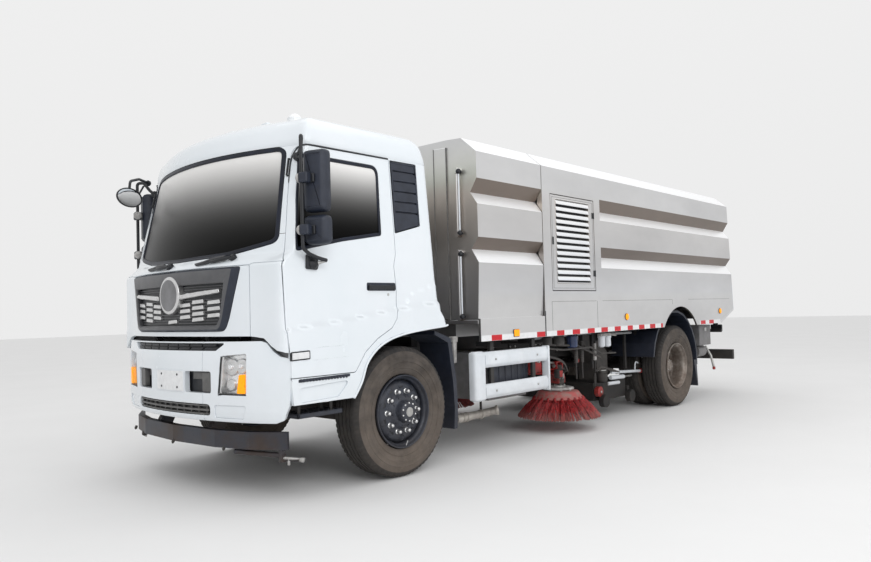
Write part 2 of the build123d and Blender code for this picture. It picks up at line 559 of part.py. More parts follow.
# ================================================================ hopper
TAIL = [(SEAM_Y, 3000), (6890, 3000), (6890, 2775), (7020, 1235), (6520, 1052), (6520, 1000), (SEAM_Y, 1000)]
LOUVRE = (2129, 2981, 1507, 2500)
with BuildPart() as hopper_shell:
    for s in (1, -1):
        face(SEAM_Y, 7100, [(0, 1042)] + [(s * x, z) for x, z in PROFILE])
    # rear part keeps its grooves; the front 1.14 m of the side is flat
    for s in (1, -1):
        block(*sorted((s * 1150, s * 1250)), SEAM_Y, 3120, 1700, 2600)
    side(-1400, 1400, TAIL, Mode.INTERSECT)
    # inside
    block(-1225, 1225, SEAM_Y - 10, 7200, 1000, FLOOR_Z, Mode.SUBTRACT)
    face(3100, 7200, [(-1130, FLOOR_Z + 20), (1130, FLOOR_Z + 20), (1130, 2740), (1040, 2880), (-1040, 2880), (-1130, 2740)], Mode.SUBTRACT)
    face(SEAM_Y - 10, 3060, [(-1190, 1000), (1190, 1000), (1190, 2740), (1040, 2880), (-1040, 2880), (-1190, 2740)], Mode.SUBTRACT)
    # wheel boxes raise the floor over the rear wheels
    for s in (1, -1):
        block(*sorted((s * 570, s * 1140)), 4400, 5920, FLOOR_Z, 1330)
        block(*sorted((s * 590, s * 1225)), 4420, 5900, 1000, 1310, Mode.SUBTRACT)
    for s in (1, -1):
        # louvre door openings
        block(*sorted((s * 1100, s * 1300)), LOUVRE[0] - 6, LOUVRE[1] + 6, LOUVRE[2] - 6, LOUVRE[3] + 6, Mode.SUBTRACT)
        # wheel arches in the skirts
        with BuildSketch(SIDE.offset(min(s * 1200, s * 1300))) as sk:
            with Locations((5160, 680)):
                Circle(620)
        extrude(sk.sketch, amount=100, mode=Mode.SUBTRACT)
    # header over the rear door
    block(-1060, 1060, 6790, 6890, 2765, 2890)
    # duct holes in the floor
    for s in (1, -1):
        bar((s * 640, 3560, 1100), (s * 640, 3560, 1160), 118, Mode.SUBTRACT)
    # floor bearers, hinge lugs and upper ears of the tip cylinders
    for s in (1, -1):
        side(*sorted((s * 445, s * 505)), [(6650, FLOOR_Z + 5), (6740, 1000), (6770, 975), (6830, 975), (6860, 1000), (6880, FLOOR_Z + 5)])
        bar((s * 440, *TIP_PIVOT), (s * 510, *TIP_PIVOT), 30 + FIT, Mode.SUBTRACT)
        for e in (-65, 50):
            side(s * CYL_X + e, s * CYL_X + e + 15, [(4920, FLOOR_Z + 5), (4960, 1010), (5040, 1010), (5080, FLOOR_Z + 5)])
done("hopper_shell", hopper_shell)

with BuildPart() as rear_door:
    side(-1120, 1120, [(6800, 2735), (6885, 2735), (7013, 1240), (6930, 1146), (6800, 1146)])
    side(-1050, 1050, [(6790, 2700), (6850, 2700), (6950, 1260), (6900, 1180), (6790, 1180)], Mode.SUBTRACT)
    # hinge tube along its top edge
    bar((-1000, 6890, 2745), (1000, 6890, 2745), 14)
done("rear_door", rear_door)

for s, tag in ((1, "left"), (-1, "right")):
    with BuildPart() as louvre_door:
        block(*sorted((s * 1200, s * 1250)), *LOUVRE)
        for k in range(13):
            z = 1592 + k * (2451 - 1592) / 13
            block(*sorted((s * 1190, s * 1260)), 2228, 2873, z + 20, z + 48, Mode.SUBTRACT)
        # hinge barrels on the rear edge
        for z in (1640, 2280):
            bar((s * 1254, 2979, z), (s * 1254, 2979, z + 90), 5.5)
    done("louvre_door_" + tag, louvre_door)

# tip cylinders: direction from the lower pin to the upper pin
DY, DZ = CYL_B[0] - CYL_A[0], CYL_B[1] - CYL_A[1]
CYL_L = hypot(DY, DZ)
UY, UZ = DY / CYL_L, DZ / CYL_L


def along(x, d):
    return (x, CYL_A[0] + UY * d, CYL_A[1] + UZ * d)


with BuildPart() as tip_barrels:
    for s in (1, -1):
        x = s * CYL_X
        bar(along(x, 30), along(x, 830), 52)
        bar((x - 45, *CYL_A), (x + 45, *CYL_A), 42)
        bar((x - 46, *CYL_A), (x + 46, *CYL_A), 20 + FIT, Mode.SUBTRACT)
        bar(along(x, 60), along(x, 840), 40, Mode.SUBTRACT)
        bar(along(x, 800), along(x, 830), 50)
        bar(along(x, 790), along(x, 840), 28 + FIT, Mode.SUBTRACT)
done("tip_barrels", tip_barrels)

with BuildPart() as tip_rods:
    for s in (1, -1):
        x = s * CYL_X
        bar(along(x, 64), along(x, CYL_L - 20), 28)
        bar(along(x, 64), along(x, 86), 38)
        bar((x - 35, *CYL_B), (x + 35, *CYL_B), 36)
        bar((x - 36, *CYL_B), (x + 36, *CYL_B), 20, Mode.SUBTRACT)
done("tip_rods", tip_rods)

# ================================================================ wheels
# tyre cross section: offset from the centre plane, radius
TYRE = [(-108, BEAD_R), (-125, 320), (-143, 400), (-140, 455), (-122, 508), (-105, TYRE_R), (105, TYRE_R), (122, 508), (140, 455), (143, 400), (125, 320), (108, BEAD_R),
        (92, BEAD_R), (108, 330), (122, 400), (112, 470), (90, 495), (-90, 495), (-112, 470), (-122, 400), (-108, 330), (-92, BEAD_R)]
RIM = [(-128, RIM_R), (-128, 280), (-90, 270), (-60, 250), (60, 250), (90, 270), (128, 280), (128, RIM_R), (114, RIM_R), (114, BEAD_R - 1), (85, BEAD_R - 1), (60, 262), (-60, 262), (-85, BEAD_R - 1), (-114, BEAD_R - 1), (-114, RIM_R)]
for s, tag in ((1, "left"), (-1, "right")):
    with BuildPart() as tyre:
        turned(s * FRONT_X, 0, TYRE_R, TYRE, sign=s)
    done("tyre_front_" + tag, tyre)
    with BuildPart() as rim:
        turned(s * FRONT_X, 0, TYRE_R, RIM, sign=s)
        # convex disc with its hub; the hub turns on the knuckle's spindle
        turned(s * FRONT_X, 0, TYRE_R, [(60, 255), (95, 220), (105, 140), (125, 120), (135, 85), (195, 60), (195, 0), (150, 0), (150, HUB_R + FIT), (-20, HUB_R + FIT), (-20, 90), (60, 100), (88, 140), (80, 215), (48, 252)], sign=s)
        with BuildSketch(Plane(origin=(s * 1100, -Y_MID, TYRE_R), x_dir=(0, 1, 0), z_dir=(s, 0, 0))) as sk:
            with PolarLocations(195, 10):
                Circle(20)
        extrude(sk.sketch, amount=90, mode=Mode.SUBTRACT)
    done("rim_front_" + tag, rim)
    with BuildPart() as knuckle:
        # upper and lower arms of the fork round the beam's eye, kingpin, spindle and brake plate
        bar((s * KING_X, 0, 400), (s * KING_X, 0, 655), 25)
        bar((s * KING_X, 0, 400), (s * KING_X, 0, 458), 58)
        bar((s * KING_X, 0, 597), (s * KING_X, 0, 655), 58)
        block(*sorted((s * 900, s * 985)), -50, 50, 400, 458)
        block(*sorted((s * 900, s * 985)), -50, 50, 597, 655)
        block(*sorted((s * 968, s * 1000)), -105, 105, 400, 655)
        bar((s * 990, 0, TYRE_R), (s * 1200, 0, TYRE_R), HUB_R)
        bar((s * 1000, 0, TYRE_R), (s * 1012, 0, TYRE_R), 200)
        # steering arm
        plan(400, 440, [(s * 860, 20), (s * 930, 30), (s * 880, 250), (s * 820, 250)])
    done("knuckle_" + tag, knuckle)
    with BuildPart() as tyres:
        turned(s * REAR_OUT_X, WHEELBASE, TYRE_R, TYRE, sign=s)
        turned(s * REAR_IN_X, WHEELBASE, TYRE_R, TYRE, sign=s)
    done("tyres_rear_" + tag, tyres)
    with BuildPart() as rims:
        turned(s * REAR_OUT_X, WHEELBASE, TYRE_R, RIM, sign=s)
        turned(s * REAR_IN_X, WHEELBASE, TYRE_R, RIM, sign=s)
        # deeply dished discs back to back on the hub, drum behind them
        x0 = REAR_OUT_X
        turned(s * x0, WHEELBASE, TYRE_R, [(-48, 252), (-110, 235), (-150, 190), (-150, 110), (-60, 95), (20, 75), (30, 60), (30, 0), (-55, 0), (-55, HUB_R + FIT), (-470, HUB_R + FIT), (-470, 90), (-340, 100), (-340, 205), (-290, 205), (-185, 190), (-185, 235), (-282, 255), (-270, 262), (-180, 250), (-165, 240), (-125, 245), (-60, 262)], sign=s)
    done("rims_rear_" + tag, rims)

    # ------------------------------------------------------------ side broom
    bx, by = BROOM
    ax, ay = ARM_PIVOT
    with BuildPart() as arm:
        bar((s * ax, ay, 560), (s * ax, ay, 760), 50)
        plan(600, 660, [(s * (ax - 30), ay + 20), (s * (ax + 30), ay - 35), (s * (bx + 45), by - 20), (s * (bx + 45), by + 45), (s * (bx - 45), by + 45)])
        bar((s * bx, by, 455), (s * bx, by, 700), 75)
    done("broom_arm_" + tag, arm)
    with BuildPart() as broom:
        with BuildSketch(Plane(origin=(s * bx, by - Y_MID, 0), x_dir=(1, 0, 0), z_dir=(0, -1, 0))) as sk:
            with BuildLine():
                Polyline((0, 445), (120, 445), (120, 420), (220, 410), (240, 350), (455, 130), (380, 130), (190, 330), (0, 330), close=True)
            make_face()
        revolve(sk.sketch, axis=Axis((s * bx, by - Y_MID, 0), (0, 0, 1)))
    done("broom_" + tag, broom)

# ================================================================ write
os.makedirs("parts", exist_ok=True)
for name, b in pieces:
    export_step(b.part, "parts/%s.step" % name)
print(len(pieces), "pieces; cylinder", round(CYL_L, 1))
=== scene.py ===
import math
import bpy
import bmesh
import numpy as np
from mathutils import Vector, Matrix
from mathutils.geometry import delaunay_2d_cdt


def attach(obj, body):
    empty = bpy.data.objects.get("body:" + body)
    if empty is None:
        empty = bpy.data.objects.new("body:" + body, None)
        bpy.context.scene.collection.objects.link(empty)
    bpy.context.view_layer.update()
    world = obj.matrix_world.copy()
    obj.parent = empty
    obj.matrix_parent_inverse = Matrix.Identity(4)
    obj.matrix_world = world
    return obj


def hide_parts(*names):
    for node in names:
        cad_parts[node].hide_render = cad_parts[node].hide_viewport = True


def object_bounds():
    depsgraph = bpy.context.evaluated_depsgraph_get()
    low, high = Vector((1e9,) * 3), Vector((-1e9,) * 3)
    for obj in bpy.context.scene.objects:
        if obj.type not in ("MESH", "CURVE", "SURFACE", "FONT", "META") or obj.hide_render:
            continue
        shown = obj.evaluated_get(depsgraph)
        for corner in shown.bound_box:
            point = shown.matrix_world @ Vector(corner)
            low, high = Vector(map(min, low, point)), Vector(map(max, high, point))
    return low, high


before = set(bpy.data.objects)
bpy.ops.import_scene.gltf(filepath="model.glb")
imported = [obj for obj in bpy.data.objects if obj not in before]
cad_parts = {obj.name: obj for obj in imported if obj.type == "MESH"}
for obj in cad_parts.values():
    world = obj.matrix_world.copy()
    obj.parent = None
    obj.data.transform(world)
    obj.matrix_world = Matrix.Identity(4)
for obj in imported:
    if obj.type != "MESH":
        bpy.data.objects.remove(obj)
CAD_BOX = [list(p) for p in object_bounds()]
YM = 2855.0            # every length below is in mm, y counted from the front axle
rng = np.random.default_rng(7)
sin, cos, pi = math.sin, math.cos, math.pi


# ------------------------------------------------------------------ materials
def nodes_of(name):
    m = bpy.data.materials.new(name)
    m.use_nodes = True
    return m, m.node_tree.nodes, m.node_tree.links, m.node_tree.nodes["Principled BSDF"]


def finish_mat(name, col, col2=None, rough=0.5, rough2=None, metal=0.0, scale=6.0, stretch=(1, 1, 1), bump=0.0, bscale=60.0,
               bstretch=(1, 1, 1), dirt=None, dirt_z=(0.3, 1.3), dirt_amt=0.5, coat=0.0, coat_rough=0.05, sheen=0.0, spec=0.5, ramp=(0.35, 0.65), edge=None,
               gradient=None, alpha=None, emit=None, detail=4.0, wear=None, painted_shade_by_face=False):
    """Principled surface: two mottled colours, dirt that thickens towards the ground, roughness that follows the
    mottle, fine bump; optionally painted shade and light by face direction, and a colour ramp over height.
    """
    m, N, L, P = nodes_of(name)
    P.inputs["Metallic"].default_value = metal
    P.inputs["Specular IOR Level"].default_value = spec
    P.inputs["Coat Weight"].default_value = coat
    P.inputs["Coat Roughness"].default_value = coat_rough
    P.inputs["Sheen Weight"].default_value = sheen
    tc = N.new("ShaderNodeTexCoord")
    mp = N.new("ShaderNodeMapping")
    mp.inputs["Scale"].default_value = stretch
    L.new(tc.outputs["Object"], mp.inputs["Vector"])
    nz = N.new("ShaderNodeTexNoise")
    nz.inputs["Scale"].default_value = scale
    nz.inputs["Detail"].default_value = detail
    nz.inputs["Roughness"].default_value = 0.6
    L.new(mp.outputs["Vector"], nz.inputs["Vector"])
    rp = N.new("ShaderNodeValToRGB")
    rp.color_ramp.elements[0].position, rp.color_ramp.elements[1].position = ramp
    rp.color_ramp.elements[0].color = (*col, 1)
    rp.color_ramp.elements[1].color = (*(col2 or [c * 0.86 for c in col]), 1)
    L.new(nz.outputs["Fac"], rp.inputs["Fac"])
    out = rp.outputs["Color"]
    # colour multiplied by a ramp over object height: the windows' painted reflection near the top and painted shade
    # lower down
    if gradient:
        sp = N.new("ShaderNodeSeparateXYZ")
        L.new(tc.outputs["Object"], sp.inputs["Vector"])
        mr = N.new("ShaderNodeMapRange")
        mr.inputs["From Min"].default_value, mr.inputs["From Max"].default_value = gradient[0], gradient[1]
        L.new(sp.outputs["Z"], mr.inputs["Value"])
        gr = N.new("ShaderNodeValToRGB")
        gr.color_ramp.interpolation = "B_SPLINE"
        el = gr.color_ramp.elements
        for i, (p, c) in enumerate(gradient[2]):
            e = el[i] if i < 2 else el.new(p)
            e.position = p
            e.color = (c, c * 0.995, c * 0.985, 1)
        L.new(mr.outputs["Result"], gr.inputs["Fac"])
        mx = N.new("ShaderNodeMix")
        mx.data_type = "RGBA"
        mx.blend_type = "MULTIPLY"
        mx.inputs["Factor"].default_value = 1.0
        L.new(gr.outputs["Color"], mx.inputs[6])
        L.new(out, mx.inputs[7])
        out = mx.outputs[2]
    if painted_shade_by_face:
        # painted shade and light on sheet metal: downward folds painted browner and darker as shade, upward ones
        # painted brighter as sky light, painted bands of sky reflection on the side walls, and the front wall painted
        # dark at the foot and warming towards the top as painted light
        sn = N.new("ShaderNodeSeparateXYZ")
        L.new(tc.outputs["Normal"], sn.inputs["Vector"])
        painted_shade_ramp = N.new("ShaderNodeValToRGB")
        mrn = N.new("ShaderNodeMapRange")
        mrn.inputs["From Min"].default_value, mrn.inputs["From Max"].default_value = -1.0, 1.0
        L.new(sn.outputs["Z"], mrn.inputs["Value"])
        L.new(mrn.outputs["Result"], painted_shade_ramp.inputs["Fac"])
        e = painted_shade_ramp.color_ramp.elements
        e[0].position, e[0].color = 0.22, (0.30, 0.25, 0.215, 1)
        e[1].position, e[1].color = 0.47, (0.93, 0.92, 0.91, 1)
        for p, c in ((0.35, (0.36, 0.305, 0.265, 1)), (0.52, (0.95, 0.945, 0.94, 1)), (0.66, (1.75, 1.80, 1.86, 1)), (0.85, (1.9, 1.93, 1.97, 1))):
            k = e.new(p)
            k.position, k.color = p, c
        mf = N.new("ShaderNodeMix")
        mf.data_type, mf.blend_type = "RGBA", "MULTIPLY"
        mf.inputs["Factor"].default_value = 1.0
        L.new(out, mf.inputs[6])
        L.new(painted_shade_ramp.outputs["Color"], mf.inputs[7])
        out = mf.outputs[2]
        sz = N.new("ShaderNodeSeparateXYZ")
        L.new(tc.outputs["Object"], sz.inputs["Vector"])
        # side walls: soft bands of reflected sky
        zr = N.new("ShaderNodeMapRange")
        zr.inputs["From Min"].default_value, zr.inputs["From Max"].default_value = 1.0, 2.95
        L.new(sz.outputs["Z"], zr.inputs["Value"])
        zc = N.new("ShaderNodeValToRGB")
        zc.color_ramp.interpolation = "B_SPLINE"
        e = zc.color_ramp.elements
        e[0].position, e[0].color = 0.0, (1.12, 1.13, 1.15, 1)
        e[1].position, e[1].color = 1.0, (1.22, 1.20, 1.19, 1)
        for p, c in ((0.25, (0.98, 0.99, 1.01, 1)), (0.5, (0.86, 0.85, 0.845, 1)), (0.78, (1.0, 0.985, 0.97, 1))):
            k = e.new(p)
            k.position, k.color = p, c
        L.new(zr.outputs["Result"], zc.inputs["Fac"])
        mz = N.new("ShaderNodeMix")
        mz.data_type, mz.blend_type = "RGBA", "MULTIPLY"
        mz.inputs["Factor"].default_value = 1.0
        L.new(out, mz.inputs[6])
        L.new(zc.outputs["Color"], mz.inputs[7])
        out = mz.outputs[2]
        # front wall: painted shade at the foot, painted warm light towards the top
        fm = N.new("ShaderNodeMapRange")
        fm.inputs["From Min"].default_value, fm.inputs["From Max"].default_value = -0.75, -0.95
        L.new(sn.outputs["Y"], fm.inputs["Value"])
        painted_front_wall_ramp = N.new("ShaderNodeValToRGB")
        painted_front_wall_ramp.color_ramp.interpolation = "B_SPLINE"
        e = painted_front_wall_ramp.color_ramp.elements
        e[0].position, e[0].color = 0.0, (0.30, 0.295, 0.30, 1)
        e[1].position, e[1].color = 1.0, (1.30, 1.18, 1.05, 1)
        for p, c in ((0.3, (0.42, 0.40, 0.39, 1)), (0.65, (0.95, 0.86, 0.77, 1))):
            k = e.new(p)
            k.position, k.color = p, c
        L.new(zr.outputs["Result"], painted_front_wall_ramp.inputs["Fac"])
        mv = N.new("ShaderNodeMix")
        mv.data_type, mv.blend_type = "RGBA", "MULTIPLY"
        L.new(fm.outputs["Result"], mv.inputs["Factor"])
        L.new(out, mv.inputs[6])
        L.new(painted_front_wall_ramp.outputs["Color"], mv.inputs[7])
        out = mv.outputs[2]
    dfac = None
    if dirt:
        sp = N.new("ShaderNodeSeparateXYZ")
        L.new(tc.outputs["Object"], sp.inputs["Vector"])
        mr = N.new("ShaderNodeMapRange")
        mr.inputs["From Min"].default_value, mr.inputs["From Max"].default_value = dirt_z[1], dirt_z[0]
        L.new(sp.outputs["Z"], mr.inputs["Value"])
        n2 = N.new("ShaderNodeTexNoise")
        n2.inputs["Scale"].default_value = 9.0
        n2.inputs["Detail"].default_value = 7.0
        n2.inputs["Roughness"].default_value = 0.7
        L.new(tc.outputs["Object"], n2.inputs["Vector"])
        ad = N.new("ShaderNodeMath")
        ad.operation = "MULTIPLY_ADD"
        L.new(mr.outputs["Result"], ad.inputs[0])
        ad.inputs[1].default_value = 0.75
        L.new(n2.outputs["Fac"], ad.inputs[2])
        m3 = N.new("ShaderNodeMapRange")
        m3.inputs["From Min"].default_value, m3.inputs["From Max"].default_value = 0.55, 1.25
        m3.inputs["To Max"].default_value = dirt_amt
        L.new(ad.outputs[0], m3.inputs["Value"])
        mx = N.new("ShaderNodeMix")
        mx.data_type = "RGBA"
        L.new(m3.outputs["Result"], mx.inputs["Factor"])
        L.new(out, mx.inputs[6])
        mx.inputs[7].default_value = (*dirt, 1)
        out = mx.outputs[2]
        dfac = m3.outputs["Result"]
    if wear:
        ge = N.new("ShaderNodeNewGeometry")
        wr = N.new("ShaderNodeValToRGB")
        wr.color_ramp.elements[0].position, wr.color_ramp.elements[1].position = 0.52, 0.6
        L.new(ge.outputs["Pointiness"], wr.inputs["Fac"])
        ml = N.new("ShaderNodeMath")
        ml.operation = "MULTIPLY"
        L.new(wr.outputs["Color"], ml.inputs[0])
        L.new(nz.outputs["Fac"], ml.inputs[1])
        mx = N.new("ShaderNodeMix")
        mx.data_type = "RGBA"
        L.new(ml.outputs[0], mx.inputs["Factor"])
        L.new(out, mx.inputs[6])
        mx.inputs[7].default_value = (*wear, 1)
        out = mx.outputs[2]
    L.new(out, P.inputs["Base Color"])
    mr = N.new("ShaderNodeMapRange")
    mr.inputs["To Min"].default_value, mr.inputs["To Max"].default_value = rough, (rough2 if rough2 is not None else min(1.0, rough * 1.35))
    L.new(nz.outputs["Fac"], mr.inputs["Value"])
    ro = mr.outputs["Result"]
    if dfac is not None:
        a = N.new("ShaderNodeMath")
        a.operation = "MAXIMUM"
        L.new(ro, a.inputs[0])
        L.new(dfac, a.inputs[1])
        ro = a.outputs[0]
    L.new(ro, P.inputs["Roughness"])
    if bump:
        b = N.new("ShaderNodeBump")
        b.inputs["Strength"].default_value = min(1.0, bump)
        b.inputs["Distance"].default_value = 0.002 * max(1.0, bump)
        nb = N.new("ShaderNodeTexNoise")
        mp2 = N.new("ShaderNodeMapping")
        mp2.inputs["Scale"].default_value = bstretch
        L.new(tc.outputs["Object"], mp2.inputs["Vector"])
        L.new(mp2.outputs["Vector"], nb.inputs["Vector"])
        nb.inputs["Scale"].default_value = bscale
        nb.inputs["Detail"].default_value = 3.0
        L.new(nb.outputs["Fac"], b.inputs["Height"])
        L.new(b.outputs["Normal"], P.inputs["Normal"])
    if alpha is not None:
        P.inputs["Alpha"].default_value = alpha
    if emit:
        P.inputs["Emission Color"].default_value = (*emit, 1)
        P.inputs["Emission Strength"].default_value = 0.5
    return m


DUST = (0.20, 0.17, 0.145)
M = {}
M["white"] = finish_mat("cab_paint", (0.76, 0.80, 0.84), (0.73, 0.78, 0.82), rough=0.22, rough2=0.30, scale=1.6, bump=0.04, bscale=240, coat=0.6, coat_rough=0.04,
                        dirt=(0.40, 0.37, 0.34), dirt_z=(0.45, 1.05), dirt_amt=0.10)
M["white_trim"] = finish_mat("guard_paint", (0.75, 0.785, 0.825), (0.66, 0.70, 0.74), rough=0.33, rough2=0.5, scale=5, bump=0.06, bscale=120, dirt=(0.35, 0.31, 0.28), dirt_z=(0.3, 1.0), dirt_amt=0.22)
# stainless with painted shade and light: its colour darkens on downward faces and brightens on upward ones, with
# painted reflection bands on the side walls and painted light and shade on the front wall
M["steel"] = finish_mat("brushed_stainless_painted_shade", (0.73, 0.735, 0.745), (0.64, 0.645, 0.655), rough=0.30, rough2=0.42, metal=0.78, scale=0.9, stretch=(1, 0.55, 1.6), bump=0.10, bscale=130,
                        bstretch=(1, 0.06, 3.0), dirt=DUST, dirt_z=(0.9, 1.5), dirt_amt=0.08, painted_shade_by_face=True)
M["steel_warm"] = finish_mat("sheet_stainless_front", (0.66, 0.62, 0.58), (0.56, 0.52, 0.49), rough=0.34, rough2=0.5, metal=0.8, scale=1.4, bump=0.1, bscale=120, bstretch=(3, 1, 0.08))
M["steel_plain"] = finish_mat("plain_steel", (0.55, 0.55, 0.54), (0.42, 0.42, 0.41), rough=0.32, rough2=0.5, metal=0.9, scale=18, bump=0.1, bscale=200, dirt=DUST, dirt_z=(0.1, 0.9), dirt_amt=0.35)
M["chrome"] = finish_mat("bright_plating", (0.80, 0.80, 0.80), (0.74, 0.74, 0.74), rough=0.10, rough2=0.2, metal=1.0, scale=20)
M["satin_chrome"] = finish_mat("satin_plating", (0.72, 0.72, 0.72), (0.62, 0.62, 0.62), rough=0.28, rough2=0.4, metal=0.9, scale=30, bump=0.05, bscale=200)
M["slate"] = finish_mat("slate_plastic", (0.017, 0.023, 0.040), (0.011, 0.015, 0.027), rough=0.42, rough2=0.55, scale=12, bump=0.35, bscale=420, dirt=DUST, dirt_z=(0.1, 1.1), dirt_amt=0.10)
M["black"] = finish_mat("black_plastic", (0.012, 0.014, 0.019), (0.007, 0.008, 0.010), rough=0.36, rough2=0.5, scale=14, bump=0.2, bscale=350)
M["rubber"] = finish_mat("window_rubber", (0.008, 0.012, 0.026), (0.006, 0.008, 0.015), rough=0.34, rough2=0.45, scale=9, bump=0.1, bscale=300, spec=0.3)
M["grille"] = finish_mat("grille_grey", (0.085, 0.086, 0.092), (0.068, 0.069, 0.075), rough=0.36, rough2=0.5, scale=8, bump=0.12, bscale=400, coat=0.15, coat_rough=0.25)
M["vent_grey"] = finish_mat("vent_grey", (0.13, 0.128, 0.125), (0.09, 0.089, 0.088), rough=0.42, scale=12, bump=0.15, bscale=300)
M["frame"] = finish_mat("chassis_black", (0.011, 0.012, 0.015), (0.021, 0.021, 0.022), rough=0.45, rough2=0.7, scale=7, bump=0.3, bscale=150, dirt=(0.075, 0.062, 0.05), dirt_z=(0.1, 1.2), dirt_amt=0.45)
M["iron"] = finish_mat("cast_iron", (0.035, 0.035, 0.038), (0.02, 0.02, 0.022), rough=0.6, rough2=0.8, scale=10, bump=0.8, bscale=120, dirt=(0.09, 0.072, 0.058), dirt_z=(0.2, 1.2), dirt_amt=0.45)
M["tyre"] = finish_mat("tyre_rubber", (0.082, 0.072, 0.065), (0.045, 0.039, 0.035), rough=0.75, rough2=0.92, scale=7, bump=0.5, bscale=180, dirt=(0.20, 0.160, 0.130), dirt_z=(-0.3, 1.25), dirt_amt=0.6, ramp=(0.3, 0.7), spec=0.3)
M["tread"] = finish_mat("tread_rubber", (0.014, 0.014, 0.015), (0.030, 0.027, 0.025), rough=0.8, rough2=0.92, scale=14, bump=0.6, bscale=140, dirt=(0.075, 0.062, 0.052), dirt_z=(-0.2, 1.2), dirt_amt=0.4)
M["rim_dark"] = finish_mat("wheel_blue_grey", (0.028, 0.036, 0.055), (0.018, 0.022, 0.034), rough=0.36, rough2=0.5, scale=16, metal=0.3, bump=0.15, bscale=160, dirt=(0.10, 0.09, 0.085), dirt_z=(0.1, 1.2), dirt_amt=0.35)
M["rim_light"] = finish_mat("wheel_silver", (0.36, 0.33, 0.30), (0.13, 0.115, 0.10), rough=0.4, rough2=0.6, scale=9, metal=0.45, bump=0.2, bscale=160, dirt=(0.17, 0.115, 0.085), dirt_z=(0.0, 1.1), dirt_amt=0.7)
M["red"] = finish_mat("arm_red", (0.36, 0.004, 0.006), (0.20, 0.004, 0.006), rough=0.4, rough2=0.6, scale=9, bump=0.2, bscale=140, dirt=(0.16, 0.10, 0.08), dirt_z=(0.0, 1.2), dirt_amt=0.35)
M["bristle"] = finish_mat("bristle_red", (0.40, 0.018, 0.020), (0.10, 0.006, 0.008), rough=0.55, rough2=0.75, scale=55, stretch=(1, 1, 0.15), bump=0.6, bscale=320, bstretch=(1, 1, 0.12), dirt=(0.36, 0.25, 0.22), dirt_z=(0.05, 0.26), dirt_amt=0.7)
M["cone"] = finish_mat("broom_plate_dusty_red", (0.40, 0.085, 0.08), (0.30, 0.17, 0.15), rough=0.65, rough2=0.85, scale=22, bump=0.4, bscale=160, ramp=(0.4, 0.62))
M["ring_grey"] = finish_mat("ring_pale_grey", (0.50, 0.49, 0.48), (0.30, 0.29, 0.28), rough=0.5, rough2=0.7, scale=24, bump=0.2, bscale=160)
M["tape_w"] = finish_mat("tape_white", (0.80, 0.81, 0.82), (0.72, 0.73, 0.74), rough=0.35, scale=30, bump=0.15, bscale=500)
M["tape_r"] = finish_mat("tape_red", (0.60, 0.0, 0.010), (0.50, 0.0, 0.008), rough=0.35, scale=30, bump=0.15, bscale=500)
M["amber"] = finish_mat("amber_lens", (0.95, 0.36, 0.0), (0.85, 0.28, 0.0), rough=0.3, scale=40, bump=0.3, bscale=260, spec=0.3, emit=(0.95, 0.33, 0.0))
M["lens_red"] = finish_mat("red_lens", (0.42, 0.008, 0.01), (0.3, 0.006, 0.008), rough=0.15, scale=40, bump=0.3, bscale=260, coat=0.5)
M["reflector"] = finish_mat("lamp_reflector", (0.90, 0.91, 0.92), (0.78, 0.79, 0.81), rough=0.16, rough2=0.3, metal=0.6, scale=14, bump=0.3, bscale=40)
M["lens"] = finish_mat("lamp_cover", (0.93, 0.95, 0.96), (0.9, 0.92, 0.93), rough=0.05, rough2=0.09, scale=20, coat=0.1, alpha=0.05)
M["clear"] = finish_mat("beacon_lens", (0.92, 0.94, 0.95), (0.88, 0.9, 0.92), rough=0.10, rough2=0.2, scale=20, bump=0.5, bscale=60, coat=0.4)
M["mirror_glass"] = finish_mat("mirror_face", (0.86, 0.88, 0.9), (0.84, 0.86, 0.88), rough=0.03, rough2=0.06, metal=1.0, scale=3)
# window glass: opaque, its colour ramps from black at the foot to near-white at the top: painted reflection of the sky
# above, painted shade of the cab inside below
M["glass_f"] = finish_mat("screen_glass_painted_reflection", (0.99, 0.985, 0.98), (0.93, 0.925, 0.92), rough=0.25, rough2=0.34, scale=0.9, coat=0.0, coat_rough=0.03, spec=0.08,
                          gradient=(1.80, 2.60, [(0.0, 0.0), (0.10, 0.002), (0.30, 0.020), (0.50, 0.10), (0.68, 0.34), (0.84, 0.68), (0.97, 0.94)]))
M["glass_d"] = finish_mat("door_glass", (0.99, 0.985, 0.98), (0.93, 0.925, 0.92), rough=0.28, rough2=0.36, scale=0.9, coat=0.0, coat_rough=0.03, spec=0.06,
                          gradient=(1.86, 2.52, [(0.0, 0.0), (0.10, 0.0), (0.30, 0.010), (0.50, 0.08), (0.68, 0.30), (0.84, 0.66), (0.97, 0.95)]))
M["lining"] = finish_mat("cab_lining", (0.16, 0.16, 0.165), (0.12, 0.12, 0.125), rough=0.7, scale=9, bump=0.3, bscale=300)
M["seat"] = finish_mat("seat_cloth", (0.055, 0.057, 0.065), (0.085, 0.087, 0.095), rough=0.85, rough2=0.95, scale=140, bump=1.2, bscale=900, sheen=0.3)
M["seat_dark"] = finish_mat("seat_vinyl", (0.03, 0.03, 0.034), (0.022, 0.022, 0.025), rough=0.5, rough2=0.65, scale=30, bump=0.5, bscale=500)
M["hose"] = finish_mat("rubber_hose", (0.035, 0.035, 0.037), (0.065, 0.062, 0.06), rough=0.6, rough2=0.8, scale=16, bump=0.4, bscale=120, dirt=DUST, dirt_z=(0.1, 1.2), dirt_amt=0.35)
M["hose_grey"] = finish_mat("grey_hose", (0.34, 0.35, 0.36), (0.25, 0.26, 0.27), rough=0.5, rough2=0.7, scale=18, bump=0.2, bscale=160)
M["bluecup"] = finish_mat("dark_blue_paint", (0.02, 0.045, 0.13), (0.015, 0.03, 0.09), rough=0.28, rough2=0.45, scale=10, bump=0.1, bscale=160, coat=0.3)
